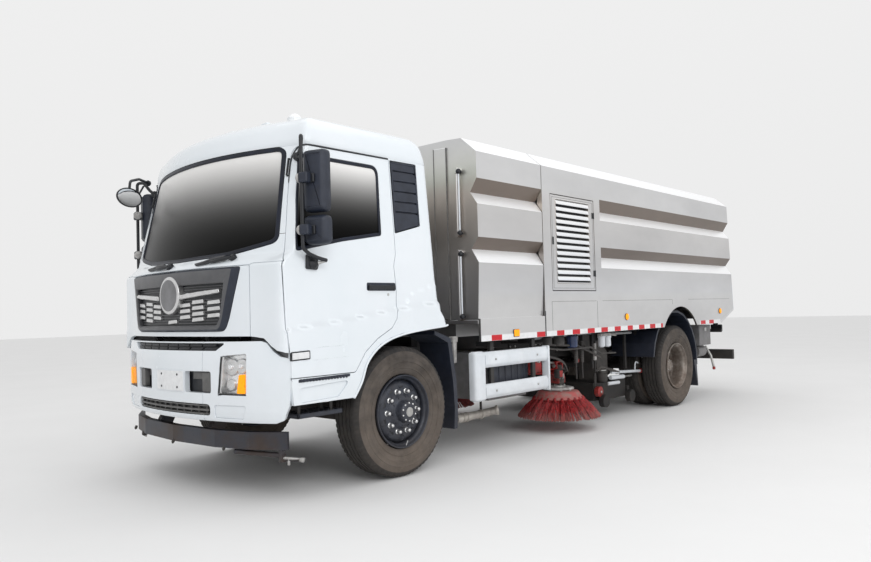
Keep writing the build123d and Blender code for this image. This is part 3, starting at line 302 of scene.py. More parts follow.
M["beige_pipe"] = finish_mat("galvanised_pipe", (0.50, 0.47, 0.43), (0.36, 0.33, 0.30), rough=0.42, rough2=0.6, metal=0.5, scale=16, bump=0.2, bscale=120)
M["mouth"] = finish_mat("mouth_steel", (0.008, 0.009, 0.011), (0.020, 0.018, 0.017), rough=0.55, rough2=0.8, metal=0.2, scale=9, bump=0.5, bscale=120, dirt=(0.04, 0.034, 0.030), dirt_z=(0.0, 0.7), dirt_amt=0.5)
M["grey_box"] = finish_mat("box_grey", (0.21, 0.21, 0.22), (0.15, 0.15, 0.155), rough=0.45, scale=8, bump=0.15, bscale=160, dirt=DUST, dirt_z=(0.3, 1.2), dirt_amt=0.3)
M["bar_dark"] = finish_mat("bar_rusty_black", (0.018, 0.022, 0.034), (0.030, 0.018, 0.014), rough=0.34, rough2=0.6, scale=3.5, bump=0.2, bscale=90, ramp=(0.4, 0.62), dirt=(0.07, 0.05, 0.04), dirt_z=(0.1, 0.6), dirt_amt=0.4)
M["line"] = finish_mat("seam_shadow", (0.16, 0.155, 0.15), (0.10, 0.10, 0.10), rough=0.6, scale=20)
M["floor"] = finish_mat("studio_floor", (0.80, 0.80, 0.80), (0.785, 0.785, 0.785), rough=0.75, rough2=0.9, scale=0.8, bump=0.05, bscale=60)


# ------------------------------------------------------------------ mesh building
class Mesh:
    def __init__(s):
        s.v, s.f, s.m, s.n = [], [], [], None

    def add(s, vf, m=0):
        v, f = vf
        o = len(s.v)
        s.v.extend([tuple(float(c) for c in p) for p in v])
        s.f.extend([tuple(i + o for i in q) for q in f])
        s.m.extend([m] * len(f))
        return s

    def both(s, vf, m=0):
        s.add(vf, m)
        return s.add(flip(vf), m)


def flip(vf):
    """The same shape on the other side of the truck."""
    v, f = vf
    return [(-p[0], p[1], p[2]) for p in v], [tuple(reversed(q)) for q in f]


def merged(*parts):
    v, f = [], []
    for a, b in parts:
        o = len(v)
        v = v + [tuple(p) for p in a]
        f = f + [tuple(i + o for i in q) for q in b]
    return v, f


PIECES = []


def make(name, mesh, mats, body, rep=(), sharp=34, fix=True):
    me = bpy.data.meshes.new(name)
    v = np.array(mesh.v, float)
    v[:, 1] -= YM
    v *= 0.001
    me.from_pydata(v.tolist(), [], mesh.f)
    for k in mats:
        me.materials.append(M[k])
    me.polygons.foreach_set("material_index", mesh.m)
    me.polygons.foreach_set("use_smooth", [True] * len(me.polygons))
    if fix and mesh.n is None:
        bm = bmesh.new()
        bm.from_mesh(me)
        bmesh.ops.recalc_face_normals(bm, faces=bm.faces)
        bm.to_mesh(me)
        bm.free()
    me.update()
    if mesh.n is not None:
        me.normals_split_custom_set_from_vertices([tuple(q) for q in mesh.n])
    else:
        me.set_sharp_from_angle(angle=math.radians(sharp))
    ob = bpy.data.objects.new(name, me)
    bpy.context.scene.collection.objects.link(ob)
    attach(ob, body)
    for r in rep:
        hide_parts(r)
    PIECES.append((name, len(me.loop_triangles) or sum(len(p.vertices) - 2 for p in me.polygons)))
    return ob


def cbox(x0, x1, y0, y1, z0, z1, c=4):
    """Box with chamfered edges."""
    x0, x1 = sorted((x0, x1))
    y0, y1 = sorted((y0, y1))
    z0, z1 = sorted((z0, z1))
    c = min(c, (x1 - x0) * 0.45, (y1 - y0) * 0.45, (z1 - z0) * 0.45)
    v, ix = [], {}
    for i, x in enumerate((x0, x1)):
        for j, y in enumerate((y0, y1)):
            for k, z in enumerate((z0, z1)):
                sx, sy, sz = 1 - 2 * i, 1 - 2 * j, 1 - 2 * k
                ix[i, j, k] = len(v)
                v += [(x, y + sy * c, z + sz * c), (x + sx * c, y, z + sz * c), (x + sx * c, y + sy * c, z)]
    f = []
    I = ix
    for i in (0, 1):
        f.append((I[i, 0, 0], I[i, 1, 0], I[i, 1, 1], I[i, 0, 1]))
        f.append(tuple(q + 1 for q in (I[0, i, 0], I[1, i, 0], I[1, i, 1], I[0, i, 1])))
        f.append(tuple(q + 2 for q in (I[0, 0, i], I[1, 0, i], I[1, 1, i], I[0, 1, i])))
    for i in (0, 1):
        for j in (0, 1):
            f.append((I[i, j, 0], I[i, j, 1], I[i, j, 1] + 1, I[i, j, 0] + 1))
            f.append((I[i, 0, j], I[i, 1, j], I[i, 1, j] + 2, I[i, 0, j] + 2))
            f.append((I[0, i, j] + 1, I[1, i, j] + 1, I[1, i, j] + 2, I[0, i, j] + 2))
    for i in (0, 1):
        for j in (0, 1):
            for k in (0, 1):
                a = I[i, j, k]
                f.append((a, a + 1, a + 2))
    return v, f


def area2(p):
    p = np.asarray(p, float)
    x, y = p[:, 0], p[:, 1]
    return float(np.sum(x * np.roll(y, -1) - y * np.roll(x, -1))) / 2


def inset(p, d):
    """Closed outline moved inwards by d (outwards if negative), mitred."""
    p = np.asarray(p, float)
    if area2(p) < 0:
        return inset(p[::-1], d)[::-1]
    a, b, c = np.roll(p, 1, 0), p, np.roll(p, -1, 0)
    e1, e2 = b - a, c - b
    e1 /= np.maximum(np.linalg.norm(e1, axis=1), 1e-9)[:, None]
    e2 /= np.maximum(np.linalg.norm(e2, axis=1), 1e-9)[:, None]
    n1, n2 = np.stack([-e1[:, 1], e1[:, 0]], 1), np.stack([-e2[:, 1], e2[:, 0]], 1)
    s = n1 + n2
    k = np.maximum(1 + np.sum(n1 * n2, 1), 0.35)
    return p + s * (d / k)[:, None]


def rounded(p, r, n=5):
    """Closed outline with its corners rounded; r is one radius or one for each corner."""
    p = [np.array(q, float) for q in p]
    rs = r if isinstance(r, (list, tuple)) else [r] * len(p)
    out = []
    for i, b in enumerate(p):
        a, c = p[i - 1], p[(i + 1) % len(p)]
        if rs[i] <= 0:
            out.append(tuple(b))
            continue
        u, w = a - b, c - b
        lu, lw = np.linalg.norm(u), np.linalg.norm(w)
        u, w = u / lu, w / lw
        ang = math.acos(max(-1, min(1, float(u @ w))))
        if ang > pi - 0.03:
            out.append(tuple(b))
            continue
        t = min(rs[i] / math.tan(ang / 2), lu * 0.48, lw * 0.48)
        p0, p1 = b + u * t, b + w * t
        for k in range(n + 1):
            s = k / n
            out.append(tuple((1 - s) ** 2 * p0 + 2 * s * (1 - s) * b + s * s * p1))
    return out


def put(axis, a, b, t):
    return {"x": (t, a, b), "y": (a, t, b), "z": (a, b, t)}[axis]


def prism(p, axis, lo, hi, c=3):
    """Outline carried along an axis with chamfered ends; outline is (y,z), (x,z) or (x,y)."""
    lo, hi = sorted((lo, hi))
    c = min(c, (hi - lo) * 0.45)
    q = inset(p, c) if c else np.asarray(p, float)
    rings = [(q, lo), (p, lo + c), (p, hi - c), (q, hi)] if c else [(p, lo), (p, hi)]
    n = len(p)
    v = [put(axis, a, b, t) for o, t in rings for a, b in o]
    f = [tuple(range(n)), tuple(range(len(rings) * n - n, len(rings) * n))[::-1]]
    for k in range(len(rings) - 1):
        for i in range(n):
            j = (i + 1) % n
            f.append((k * n + i, k * n + j, k * n + n + j, k * n + n + i))
    return v, f


def loft(rings, cap=True, close=True):
    n = len(rings[0])
    v = [tuple(p) for r in rings for p in r]
    f = []
    for k in range(len(rings) - 1):
        for i in range(n if close else n - 1):
            j = (i + 1) % n
            f.append((k * n + i, k * n + j, k * n + n + j, k * n + n + i))
    if cap:
        f += [tuple(range(n))[::-1], tuple(range(len(v) - n, len(v)))]
    return v, f


def lathe(prof, axis, c, n=32, closed=False, arc=None):
    """Profile (offset along the axis, radius) turned round it; c are the other two coordinates' centre."""
    m = len(prof)
    k = n if arc is None else n + 1
    v = []
    for i in range(k):
        t = (2 * pi * i / n) if arc is None else math.radians(arc[0] + (arc[1] - arc[0]) * i / n)
        for a, r in prof:
            v.append(put(axis, c[0] + r * cos(t), c[1] + r * sin(t), a))
    f = []
    for i in range(n):
        j = (i + 1) % k
        for q in range(m if closed else m - 1):
            w = (q + 1) % m
            f.append((i * m + q, j * m + q, j * m + w, i * m + w))
    return v, f


def smooth_path(pts, seg=6):
    """Catmull-Rom curve through points."""
    p = [np.array(q, float) for q in pts]
    p = [2 * p[0] - p[1]] + p + [2 * p[-1] - p[-2]]
    out = []
    for i in range(1, len(p) - 2):
        for k in range(seg):
            t = k / seg
            a, b, c, d = p[i - 1:i + 3]
            out.append(0.5 * ((2 * b) + (-a + c) * t + (2 * a - 5 * b + 4 * c - d) * t * t + (-a + 3 * b - 3 * c + d) * t ** 3))
    return out + [p[-2]]


def bent(pts, r, seg=6):
    """Straight runs with rounded corners."""
    p = [np.array(q, float) for q in pts]
    out = [p[0]]
    for i in range(1, len(p) - 1):
        a, b, c = p[i - 1], p[i], p[i + 1]
        u, w = a - b, c - b
        lu, lw = np.linalg.norm(u), np.linalg.norm(w)
        u, w = u / lu, w / lw
        ang = math.acos(max(-1, min(1, float(u @ w))))
        if ang > pi - 0.02:
            continue
        t = min(r / math.tan(ang / 2), lu * 0.48, lw * 0.48)
        for k in range(seg + 1):
            s = k / seg
            out.append((1 - s) ** 2 * (b + u * t) + 2 * s * (1 - s) * b + s * s * (b + w * t))
    return out + [p[-1]]


def tube(pts, r, n=12, cap=True, prof=None):
    """Round (or profiled) tube along points; r may be one number for each point."""
    p = np.array(pts, float)
    rr = np.full(len(p), r, float) if np.isscalar(r) else np.array(r, float)
    t = np.gradient(p, axis=0)
    t /= np.maximum(np.linalg.norm(t, axis=1), 1e-9)[:, None]
    u = np.cross(t[0], (0, 0, 1.0))
    if np.linalg.norm(u) < 0.1:
        u = np.cross(t[0], (0, 1.0, 0))
    u /= np.linalg.norm(u)
    rings = []
    for i in range(len(p)):
        u = u - t[i] * (u @ t[i])
        u /= np.linalg.norm(u)
        w = np.cross(t[i], u)
        if prof is None:
            rings.append([p[i] + rr[i] * (u * cos(2 * pi * k / n) + w * sin(2 * pi * k / n)) for k in range(n)])
        else:
            rings.append([p[i] + u * a * rr[i] + w * b * rr[i] for a, b in prof])
    return loft(rings, cap)


def ball(c, r, n=12, sq=(1, 1, 1)):
    rings = []
    for k in range(1, n // 2 + 1):
        a = pi * k / (n // 2 + 1)
        rings.append([(c[0] + r * sq[0] * sin(a) * cos(2 * pi * i / n), c[1] + r * sq[1] * sin(a) * sin(2 * pi * i / n), c[2] + r * sq[2] * cos(a)) for i in range(n)])
    return loft(rings, True)


def rod(p, q, r, n=14, c=2):
    """Round bar between two points with small chamfers at its ends."""
    p, q = np.array(p, float), np.array(q, float)
    d = q - p
    L = np.linalg.norm(d)
    d = d / L
    c = min(c, L * 0.3, r * 0.5)
    return tube([p, p + d * c, q - d * c, q], [r - c, r, r, r - c], n)


def turned_on(p, d, prof, n=24):
    """Closed turned shape: profile (distance along d, radius) from point p."""
    d = np.array(d, float)
    d /= np.linalg.norm(d)
    u = np.cross(d, (0, 0, 1.0))
    if np.linalg.norm(u) < 0.1:
        u = np.cross(d, (0, 1.0, 0))
    u /= np.linalg.norm(u)
    w = np.cross(d, u)
    p = np.array(p, float)
    return loft([[p + d * a + max(r, 0.01) * (u * cos(2 * pi * k / n) + w * sin(2 * pi * k / n)) for k in range(n)] for a, r in prof], True)


# ------------------------------------------------------------------ panels cut from one smooth skin
def inside(pts, poly):
    x, y = pts[:, 0], pts[:, 1]
    q = np.asarray(poly, float)
    res = np.zeros(len(pts), bool)
    j = len(q) - 1
    for i in range(len(q)):
        xi, yi, xj, yj = q[i, 0], q[i, 1], q[j, 0], q[j, 1]
        if yi != yj:
            res ^= ((yi > y) != (yj > y)) & (x < (xj - xi) * (y - yi) / (yj - yi) + xi)
        j = i
    return res


def resample(p, step):
    out = []
    for i in range(len(p)):
        a, b = np.array(p[i], float), np.array(p[(i + 1) % len(p)], float)
        k = max(1, int(math.ceil(np.linalg.norm(b - a) / step)))
        out += [tuple(a + (b - a) * t / k) for t in range(k)]
    return out


def cut_skin(outline, panels, step):
    """Triangles of the outline, sorted by the first panel outline that holds them."""
    polys = [outline] + [p for _, p in panels]
    V, Ed = [], []
    for p in polys:
        r = resample(p, step)
        o = len(V)
        V += r
        Ed += [(o + i, o + (i + 1) % len(r)) for i in range(len(r))]
    seg = np.array([(V[a][0], V[a][1], V[b][0], V[b][1]) for a, b in Ed])
    lo, hi = np.min(np.array(outline), 0), np.max(np.array(outline), 0)
    gx, gy = np.arange(lo[0] + step / 2, hi[0], step), np.arange(lo[1] + step / 2, hi[1], step * 0.87)
    G = np.array([(x + (step / 2 if k % 2 else 0), y) for k, y in enumerate(gy) for x in gx]).reshape(-1, 2)
    G = G[inside(G, outline)]
    d = np.full(len(G), 1e9)
    for x0, y0, x1, y1 in seg:
        ab = np.array((x1 - x0, y1 - y0))
        L2 = max(ab @ ab, 1e-9)
        t = np.clip(((G[:, 0] - x0) * ab[0] + (G[:, 1] - y0) * ab[1]) / L2, 0, 1)
        d = np.minimum(d, np.hypot(G[:, 0] - x0 - t * ab[0], G[:, 1] - y0 - t * ab[1]))
    G = G[d > step * 0.5]
    V += [tuple(g) for g in G]
    res = delaunay_2d_cdt([Vector((float(a), float(b))) for a, b in V], Ed, [], 0, 0.02)
    P = np.array([(v.x, v.y) for v in res[0]])
    T = np.array([t for t in res[2] if len(t) == 3])
    C = P[T].mean(1)
    left = inside(C, outline)
    out = {}
    for name, poly in panels:
        k = left & inside(C, poly)
        out[name] = T[k]
        left &= ~k
    out[""] = T[left]
    return P, out


def normals(S, P, e=3.0):
    du = S(P + (e, 0)) - S(P - (e, 0))
    dv = S(P + (0, e)) - S(P - (0, e))
    n = np.cross(du, dv)
    return n / np.maximum(np.linalg.norm(n, axis=1), 1e-9)[:, None]


def panel(S, P, T, gap=3.0, r=4.0, depth=40.0, lift=0.0, back=True, sgn=1, rm=0, bm=1, sm=0):
    """A closed panel from triangles of the skin: face, rounded rim, back. Returns a Mesh with its own normals."""
    used = np.unique(T)
    ix = {int(k): i for i, k in enumerate(used)}
    Q = P[used]
    pos = S(Q)
    n = normals(S, Q) * sgn
    tri = np.array([[ix[int(a)] for a in t] for t in T])
    a, b, c = pos[tri[:, 0]], pos[tri[:, 1]], pos[tri[:, 2]]
    wrong = np.sum(np.cross(b - a, c - a) * n[tri[:, 0]], 1) < 0
    tri[wrong] = tri[wrong][:, ::-1]
    cnt = {}
    for t in tri:
        for k in range(3):
            cnt[(t[k], t[(k + 1) % 3])] = 1
    be = [(p, q) for (p, q) in cnt if (q, p) not in cnt]
    d = np.zeros_like(pos)
    acc = {}
    for p, q in be:
        e = pos[q] - pos[p]
        w = np.cross(n[p], e)
        L = np.linalg.norm(w)
        if L < 1e-9:
            continue
        w /= L
        acc.setdefault(p, []).append(w)
        acc.setdefault(q, []).append(w)
    for k, ws in acc.items():
        s = sum(ws)
        d[k] = s / max(1 + float(ws[0] @ ws[-1]), 0.5) if len(ws) > 1 else ws[0]
    B = sorted(acc)
    bi = {k: i for i, k in enumerate(B)}
    top = pos + n * lift
    face = top.copy()
    face[B] = top[B] + d[B] * (gap + r)
    o = len(face)
    nb, db = n[B], d[B]
    dn = db / np.maximum(np.linalg.norm(db, axis=1), 1e-9)[:, None]
    r1 = top[B] + db * (gap + r * 0.3) - nb * r * 0.3
    r2 = top[B] + db * gap - nb * r
    r3 = top[B] + db * gap - nb * depth
    mesh = Mesh()
    allv = [face, r1, r2, r3]
    alln = [n, nb - dn, -dn, -dn]
    F, MI = [tuple(t) for t in tri.tolist()], [sm] * len(tri)
    m = len(B)
    for p, q in be:
        i, j = bi[p], bi[q]
        F.append((q, p, o + i, o + j))
        F.append((o + j, o + i, o + m + i, o + m + j))
        F.append((o + m + j, o + m + i, o + 2 * m + i, o + 2 * m + j))
        MI += [sm, sm, rm]
    if back:
        o2 = o + 3 * m
        bk = top - n * depth
        bk[B] = r3
        allv.append(bk)
        alln.append(-n)
        F += [tuple(x + o2 for x in t[::-1]) for t in tri.tolist()]
        MI += [bm] * len(tri)
    mesh.v = [tuple(p) for p in np.vstack(allv)]
    nn = np.vstack(alln)
    mesh.n = nn / np.maximum(np.linalg.norm(nn, axis=1), 1e-9)[:, None]
    mesh.f = F
    mesh.m = MI
    return mesh


def joined(*ms):
    """Panels that share one object, with their normals."""
    r = Mesh()
    nn = []
    for m in ms:
        o = len(r.v)
        r.v += m.v
        r.f += [tuple(i + o for i in q) for q in m.f]
        r.m += m.m
        nn.append(np.asarray(m.n))
    r.n = np.vstack(nn)
    return r


# ------------------------------------------------------------------ cab: one smooth skin, cut into its panels
KZ = np.array([1185.0, 1700.0, 1735.0, 1790.0, 2590.0])
KW = np.array([1200.0, 1200.0, 1199.0, 1196.0, 1140.0])
KC = np.array([-1372.0, -1366.0, -1335.0, -1272.0, -1138.0])
KA = np.array([-1245.0, -1243.0, -1190.0, -1103.0, -950.0])
KX = np.array([900.0, 900.0, 965.0, 1055.0, 945.0])
KS = np.array([-1145.0, -1143.0, -1110.0, -1035.0, -860.0])
RZ = np.array([1206.0, 1270.0, 1330.0, 1450.0, 1700.0, 2590.0])
RY = np.array([543.0, 522.0, 478.0, 455.0, 430.0, 415.0])
UC, US, LS, RR = 900.0, 1150.0, 1500.0, 60.0
U3 = US + LS
U4 = U3 + 94.0
U5 = U4 + 1140.0


def cab_skin(Q):
    Q = np.atleast_2d(np.asarray(Q, float))
    u, z = np.abs(Q[:, 0]), Q[:, 1]
    sg = np.where(Q[:, 0] < 0, -1.0, 1.0)
    w, yc, ya, xa, ys = (np.interp(z, KZ, k) for k in (KW, KC, KA, KX, KS))
    yr = np.interp(z, RZ, RY)
    x, y = np.zeros_like(u), np.zeros_like(u)
    a = u <= UC
    t = np.minimum(u / UC, 1)
    x0, y0 = xa * t, yc + (ya - yc) * t * t
    t = np.clip((u - UC) / (US - UC), 0, 1)
    sl = 2 * (ya - yc) / xa
    p1x = xa + (w - xa) * 0.62
    p1y = ya + sl * (w - xa) * 0.62
    p2x, p2y = w, ys - (ys - ya) * 0.62
    b0, b1, b2, b3 = (1 - t) ** 3, 3 * t * (1 - t) ** 2, 3 * t * t * (1 - t), t ** 3
    x1, y1 = b0 * xa + b1 * p1x + b2 * p2x + b3 * w, b0 * ya + b1 * p1y + b2 * p2y + b3 * ys
    k = (yr - RR - ys) / LS
    x2, y2 = w, ys + (u - US) * k
    an = np.clip((u - U3) / (U4 - U3), 0, 1) * pi / 2
    x3, y3 = w - RR + RR * np.cos(an), yr - RR + RR * np.sin(an)
    x4, y4 = (w - RR) * (1 - (u - U4) / (U5 - U4)), yr
    x = np.where(a, x0, np.where(u <= US, x1, np.where(u <= U3, x2, np.where(u <= U4, x3, x4))))
    y = np.where(a, y0, np.where(u <= US, y1, np.where(u <= U3, y2, np.where(u <= U4, y3, y4))))
    # the sides stand a little further out below the rising crease
    side = np.clip((u - UC) / (US - UC), 0, 1) * np.clip((U4 - u) / 40.0, 0, 1)
    cz = np.interp(y, [-1145, -1084, -563, -62, 410], [1225, 1232, 1287, 1353, 1398])
    st = np.clip((cz + 5 - z) / 10.0, 0, 1)
    x = x + side * (st * st * (3 - 2 * st) * 20.0 - 8.0)
    fz = np.interp(y, [27, 129, 417], [1385, 1477, 1566])
    st = np.clip((fz + 5 - z) / 10.0, 0, 1) * np.clip((y - 22) / 40.0, 0, 1)
    x = x + side * st * 7.0
    return np.stack([x * sg, y, z], 1)


def F(x, z):
    return (UC * x / float(np.interp(z, KZ, KX)), z)


def D(y, z):
    ys, yr = float(np.interp(z, KZ, KS)), float(np.interp(z, RZ, RY))
    return (US + (y - ys) * LS / (yr - RR - ys), z)


def mir(p):
    return [(-a, b) for a, b in p][::-1]


def sym(half):
    """Half outline from the middle top or bottom round to the other middle, closed on the far side."""
    return list(half) + [(-a, b) for a, b in half[::-1] if abs(a) > 1e-6]


ARCH = [(-545, 700), (-474, 812), (-420, 938), (-350, 1018), (-262, 1079), (-150, 1124), (-18, 1154)]
half = [(0, 1185), (900, 1183), (960, 1168), (1000, 1114), (1040, 1082), (1120, 1066)] + [D(-1122, 1062), D(-1122, 826), D(-1105, 692), D(-555, 692)] + [D(*p) for p in ARCH]
half += [(US + 0.86 * LS, 1183), (U3, 1203), (U4, 1206), (U5, 1206), (U5, 2588), (U4, 2588), (US, 2588), (UC, 2588), (0, 2588)]
skin_outline = half + [(-a, b) for a, b in half[::-1] if abs(a) > 1e-6]

ws_half = [(0, 1768), (490, 1780), (600, 1787), (765, 1810), (910, 1834), (1046, 1860), (966, 2584), (0, 2584)]
ws_out = [F(*p) for p in ws_half]
ws_full = rounded(ws_out[:-1] + [(-a, b) for a, b in ws_out[:-1][::-1] if a > 1e-6], [0, 0, 0, 0, 0, 105, 75, 75, 105, 0, 0, 0, 0], 6)
ws_glass = [tuple(p) for p in inset(ws_full, 30)]
GA = [(-818, 1690), (-762, 1505), (-706, 1320), (-664, 1226), (664, 1226), (706, 1320), (762, 1505), (818, 1690)]
GB = [(-756, 1678), (-704, 1505), (-658, 1320), (-628, 1240), (628, 1240), (658, 1320), (704, 1505), (756, 1678)]
GC = [(-684, 1588), (-672, 1505), (-640, 1320), (-606, 1262), (606, 1262), (640, 1320), (672, 1505), (684, 1588)]
gr_out = rounded([F(*p) for p in GA], [14, 0, 60, 70, 70, 60, 0, 14], 5)
gr_in = rounded([F(*p) for p in GC], [20, 0, 30, 40, 40, 30, 0, 20], 5)
front_panel = [(-UC, 1180), (UC, 1180), (UC, 1700), (-UC, 1700)]
door = [D(-1122, 884), D(-545, 884), D(-526, 889), D(-423, 1030), D(-293, 1126), D(-132, 1205), D(-74, 1281), D(-62, 1349), D(-56, 1500), D(-50, 1900), D(-50, 2580),
        (948, 2578), (949, 2165), (956, 1950), (960, 1790), (1110, 1716)]
door = rounded(door, [10, 0, 0, 30, 0, 0, 10, 10, 0, 0, 18, 95, 0, 0, 0, 20], 4)
dw_out = rounded([(1142, 1786), D(-600, 1879), D(-195, 1945), D(-180, 2505), (1012, 2508), (1030, 2300), (1042, 2160), (1098, 1915)], [34, 0, 20, 95, 45, 0, 0, 0], 5)
dw_glass = [tuple(p) for p in inset(dw_out, 25)]
vent = rounded([D(-38, 1972), D(262, 2050), D(266, 2575), D(-38, 2573)], 12, 3)
corner = [(UC, 1030), D(-1134, 1030), D(-1134, 1712), (UC, 1712)]
step_hole = rounded([D(-1049, 809), D(-1047, 709), D(-698, 722), D(-588, 831)], [22, 22, 22, 22], 4)
slots = [("ws", ws_glass), ("wr", ws_full), ("gi", gr_in), ("go", gr_out), ("fp", front_panel)]
for s, nm in ((1, "l"), (-1, "r")):
    g = (lambda p: p) if s > 0 else mir
    slots += [("dg" + nm, g(dw_glass)), ("dr" + nm, g(dw_out)), ("d" + nm, g(door)), ("v" + nm, g(vent)), ("h" + nm, g(step_hole)), ("c" + nm, g(corner))]
rear_win = rounded([(U4 + 480, 1950), (U5 + 200, 1950), (U5 + 200, 2400), (U4 + 480, 2400)], 30, 3)
slots += [("rw", rear_win), ("rw2", mir(rear_win))]
P0, TT = cut_skin(skin_outline, slots, 34.0)

shell = panel(cab_skin, P0, TT[""], gap=2.5, r=3, depth=34, rm=0, bm=1)
cab_parts = [shell]
for k in ("cl", "cr", "fp"):
    cab_parts.append(panel(cab_skin, P0, TT[k], gap=2.5, r=4, depth=30, rm=0, bm=1))
for k in ("hl", "hr"):
    cab_parts.append(panel(cab_skin, P0, TT[k], gap=-3, r=3, depth=14, lift=-13, rm=0, bm=1))
skin = joined(*cab_parts)

# roof: rings drawn in from the top of the skin
top = cab_skin(np.array([(u, 2588.0) for u in np.concatenate([np.linspace(0, U5, 90), np.linspace(-U5, 0, 90)[1:-1]])]))
ROOF = [(2583, 5, 5, 5), (2593, -1, -1, -1), (2640, 3, 6, 7), (2700, 12, 22, 25), (2735, 22, 38, 36), (2760, 35, 60, 50), (2785, 54, 88, 68), (2800, 70, 110, 85), (2825, 120, 170, 130), (2840, 180, 225, 180),
        (2855, 280, 300, 260), (2868, 450, 420, 380), (2878, 700, 560, 520), (2882, 900, 640, 600)]
rings = []
for z, a, b, c in ROOF:
    r = top.copy()
    y0, y1 = top[:, 1].min(), top[:, 1].max()
    r[:, 0] = top[:, 0] * (1140.0 - a) / 1140.0
    t = (top[:, 1] - y0) / (y1 - y0)
    r[:, 1] = (y0 + b) * (1 - t) + (y1 - c) * t
    r[:, 2] = z
    rings.append(r)
roof = Mesh().add(loft(rings, cap=False))
n = len(rings[0])
roof.f.append(tuple(range(len(roof.v) - n, len(roof.v))))
roof.m.append(0)
ceil = top.copy()
ceil[:, 0] *= 0.955
ceil[:, 1] = (ceil[:, 1] + 350) * 0.95 - 350
ceil[:, 2] = 2560
low = ceil.copy()
low[:, 2] = 2575
roof.add(loft([ceil, low], cap=True), 1)

# the pieces inside and under the skin: floor with its engine hump, wheel housings, step wells, ledges beside the side
# walls at the back
inner = Mesh()
inner.add(prism([(-1120, -1090), (-1120, -1000), (-340, -1000), (-340, 230), (-600, 230), (-600, 440), (600, 440), (600, 230), (340, 230), (340, -1000), (1120, -1000), (1120, -1090), (1030, -1145), (850, -1205), (430, -1290), (0, -1322), (-430, -1290), (-850, -1205), (-1030, -1145)], "z", 1206, 1236, 4), 1)
hump = [(-372, 1206), (-372, 1380), (-340, 1418), (340, 1418), (372, 1380), (372, 1206), (340, 1206), (340, 1366), (322, 1384), (-322, 1384), (-340, 1366), (-340, 1206)]
inner.add(prism(hump, "y", -1000, 232, 3), 1)
inner.add(cbox(-372, 372, 205, 235, 1206, 1410, 4), 1).add(cbox(-372, 372, -1004, -975, 1206, 1410, 4), 1)
for s in (1, -1):
    g = (lambda q: q) if s > 0 else flip
    hou = [(-655, 702), (-640, 950), (-560, 1075), (-430, 1168), (-200, 1222), (200, 1240), (540, 1240), (540, 1216), (205, 1215), (-190, 1196), (-410, 1144), (-535, 1056), (-612, 940), (-628, 702)]
    inner.add(g(prism(hou, "x", 640, 1180, 3)), 2)
    inner.add(g(prism([(-655, 702), (-640, 950), (-560, 1075), (-430, 1168), (-430, 1236), (-1010, 1236), (-1100, 1100), (-1085, 760), (-1040, 702)], "x", 716, 762, 3)), 1)
    inner.add(g(prism([(-1120, 1236), (-1108, 830), (-1092, 735), (-655, 735), (-655, 702), (-1104, 702), (-1122, 826), (-1136, 1236)], "x", 740, 1176, 3)), 1)
    inner.add(g(prism([(540, 1240), (560, 1240), (560, 1206), (345, 1206), (345, 1240)], "x", 372, 1150, 3)), 1)
    inner.add(g(cbox(372, 1150, -640, 440, 1206, 1240, 5)), 1)
    inner.add(g(cbox(1060, 1150, 40, 430, 1240, 1500, 10)), 1)

# grille: recessed dark field, raised grey surround
grille = joined(panel(cab_skin, P0, TT["go"], gap=2, r=6, depth=48, lift=-2, rm=0, bm=2), panel(cab_skin, P0, TT["gi"], gap=-3, r=2, depth=14, lift=-16, rm=1, bm=1, sm=1))


def sub(p, k=10):
    out = []
    for a, b in zip(p, p[1:] + p[:1]):
        out += [(a[0] + (b[0] - a[0]) * t / k, a[1] + (b[1] - a[1]) * t / k) for t in range(k)]
    return out


ga = sub(rounded([F(*p) for p in GA], [14, 0, 60, 70, 70, 60, 0, 14], 5))
gb = sub(rounded([F(*p) for p in GB], [10, 0, 50, 55, 55, 50, 0, 10], 5))
gc = sub(gr_in)
gd_ = sub([tuple(p) for p in inset(gr_in, 8)])
assert len(ga) == len(gb) == len(gc) == len(gd_), (len(ga), len(gb), len(gc), len(gd_))
frame_rings = []
for ring, h in ((ga, -6), (ga, 1.5), ([(a[0] * 0.93 + b[0] * 0.07, a[1] * 0.93 + b[1] * 0.07) for a, b in zip(ga, gb)], 5), ([(a[0] * 0.08 + b[0] * 0.92, a[1] * 0.08 + b[1] * 0.92) for a, b in zip(ga, gb)], 24),
                ([(a[0] * 0.94 + b[0] * 0.06, a[1] * 0.94 + b[1] * 0.06) for a, b in zip(gb, gc)], 27), ([(a[0] * 0.06 + b[0] * 0.94, a[1] * 0.06 + b[1] * 0.94) for a, b in zip(gb, gc)], 27), (gc, 24), (gd_, 16), (gd_, -20)):
    q = cab_skin(ring)
    q[:, 1] -= h
    frame_rings.append([tuple(p) for p in q])
surround = Mesh().add(loft(frame_rings[:4], cap=False), 1).add(loft(frame_rings[3:], cap=False), 0)


def on_skin(S, outline, lift, depth, r=2.0, step=30.0, mat=0, back=None):
    """A raised plate that follows the skin."""
    P, T = cut_skin(outline, [], step)
    return panel(S, P, T[""], gap=0, r=r, depth=depth, lift=lift, rm=mat, bm=mat if back is None else back, sm=mat)


def quad_xz(a, b, c, d):
    return [F(*a), F(*b), F(*c), F(*d)]


bits = []
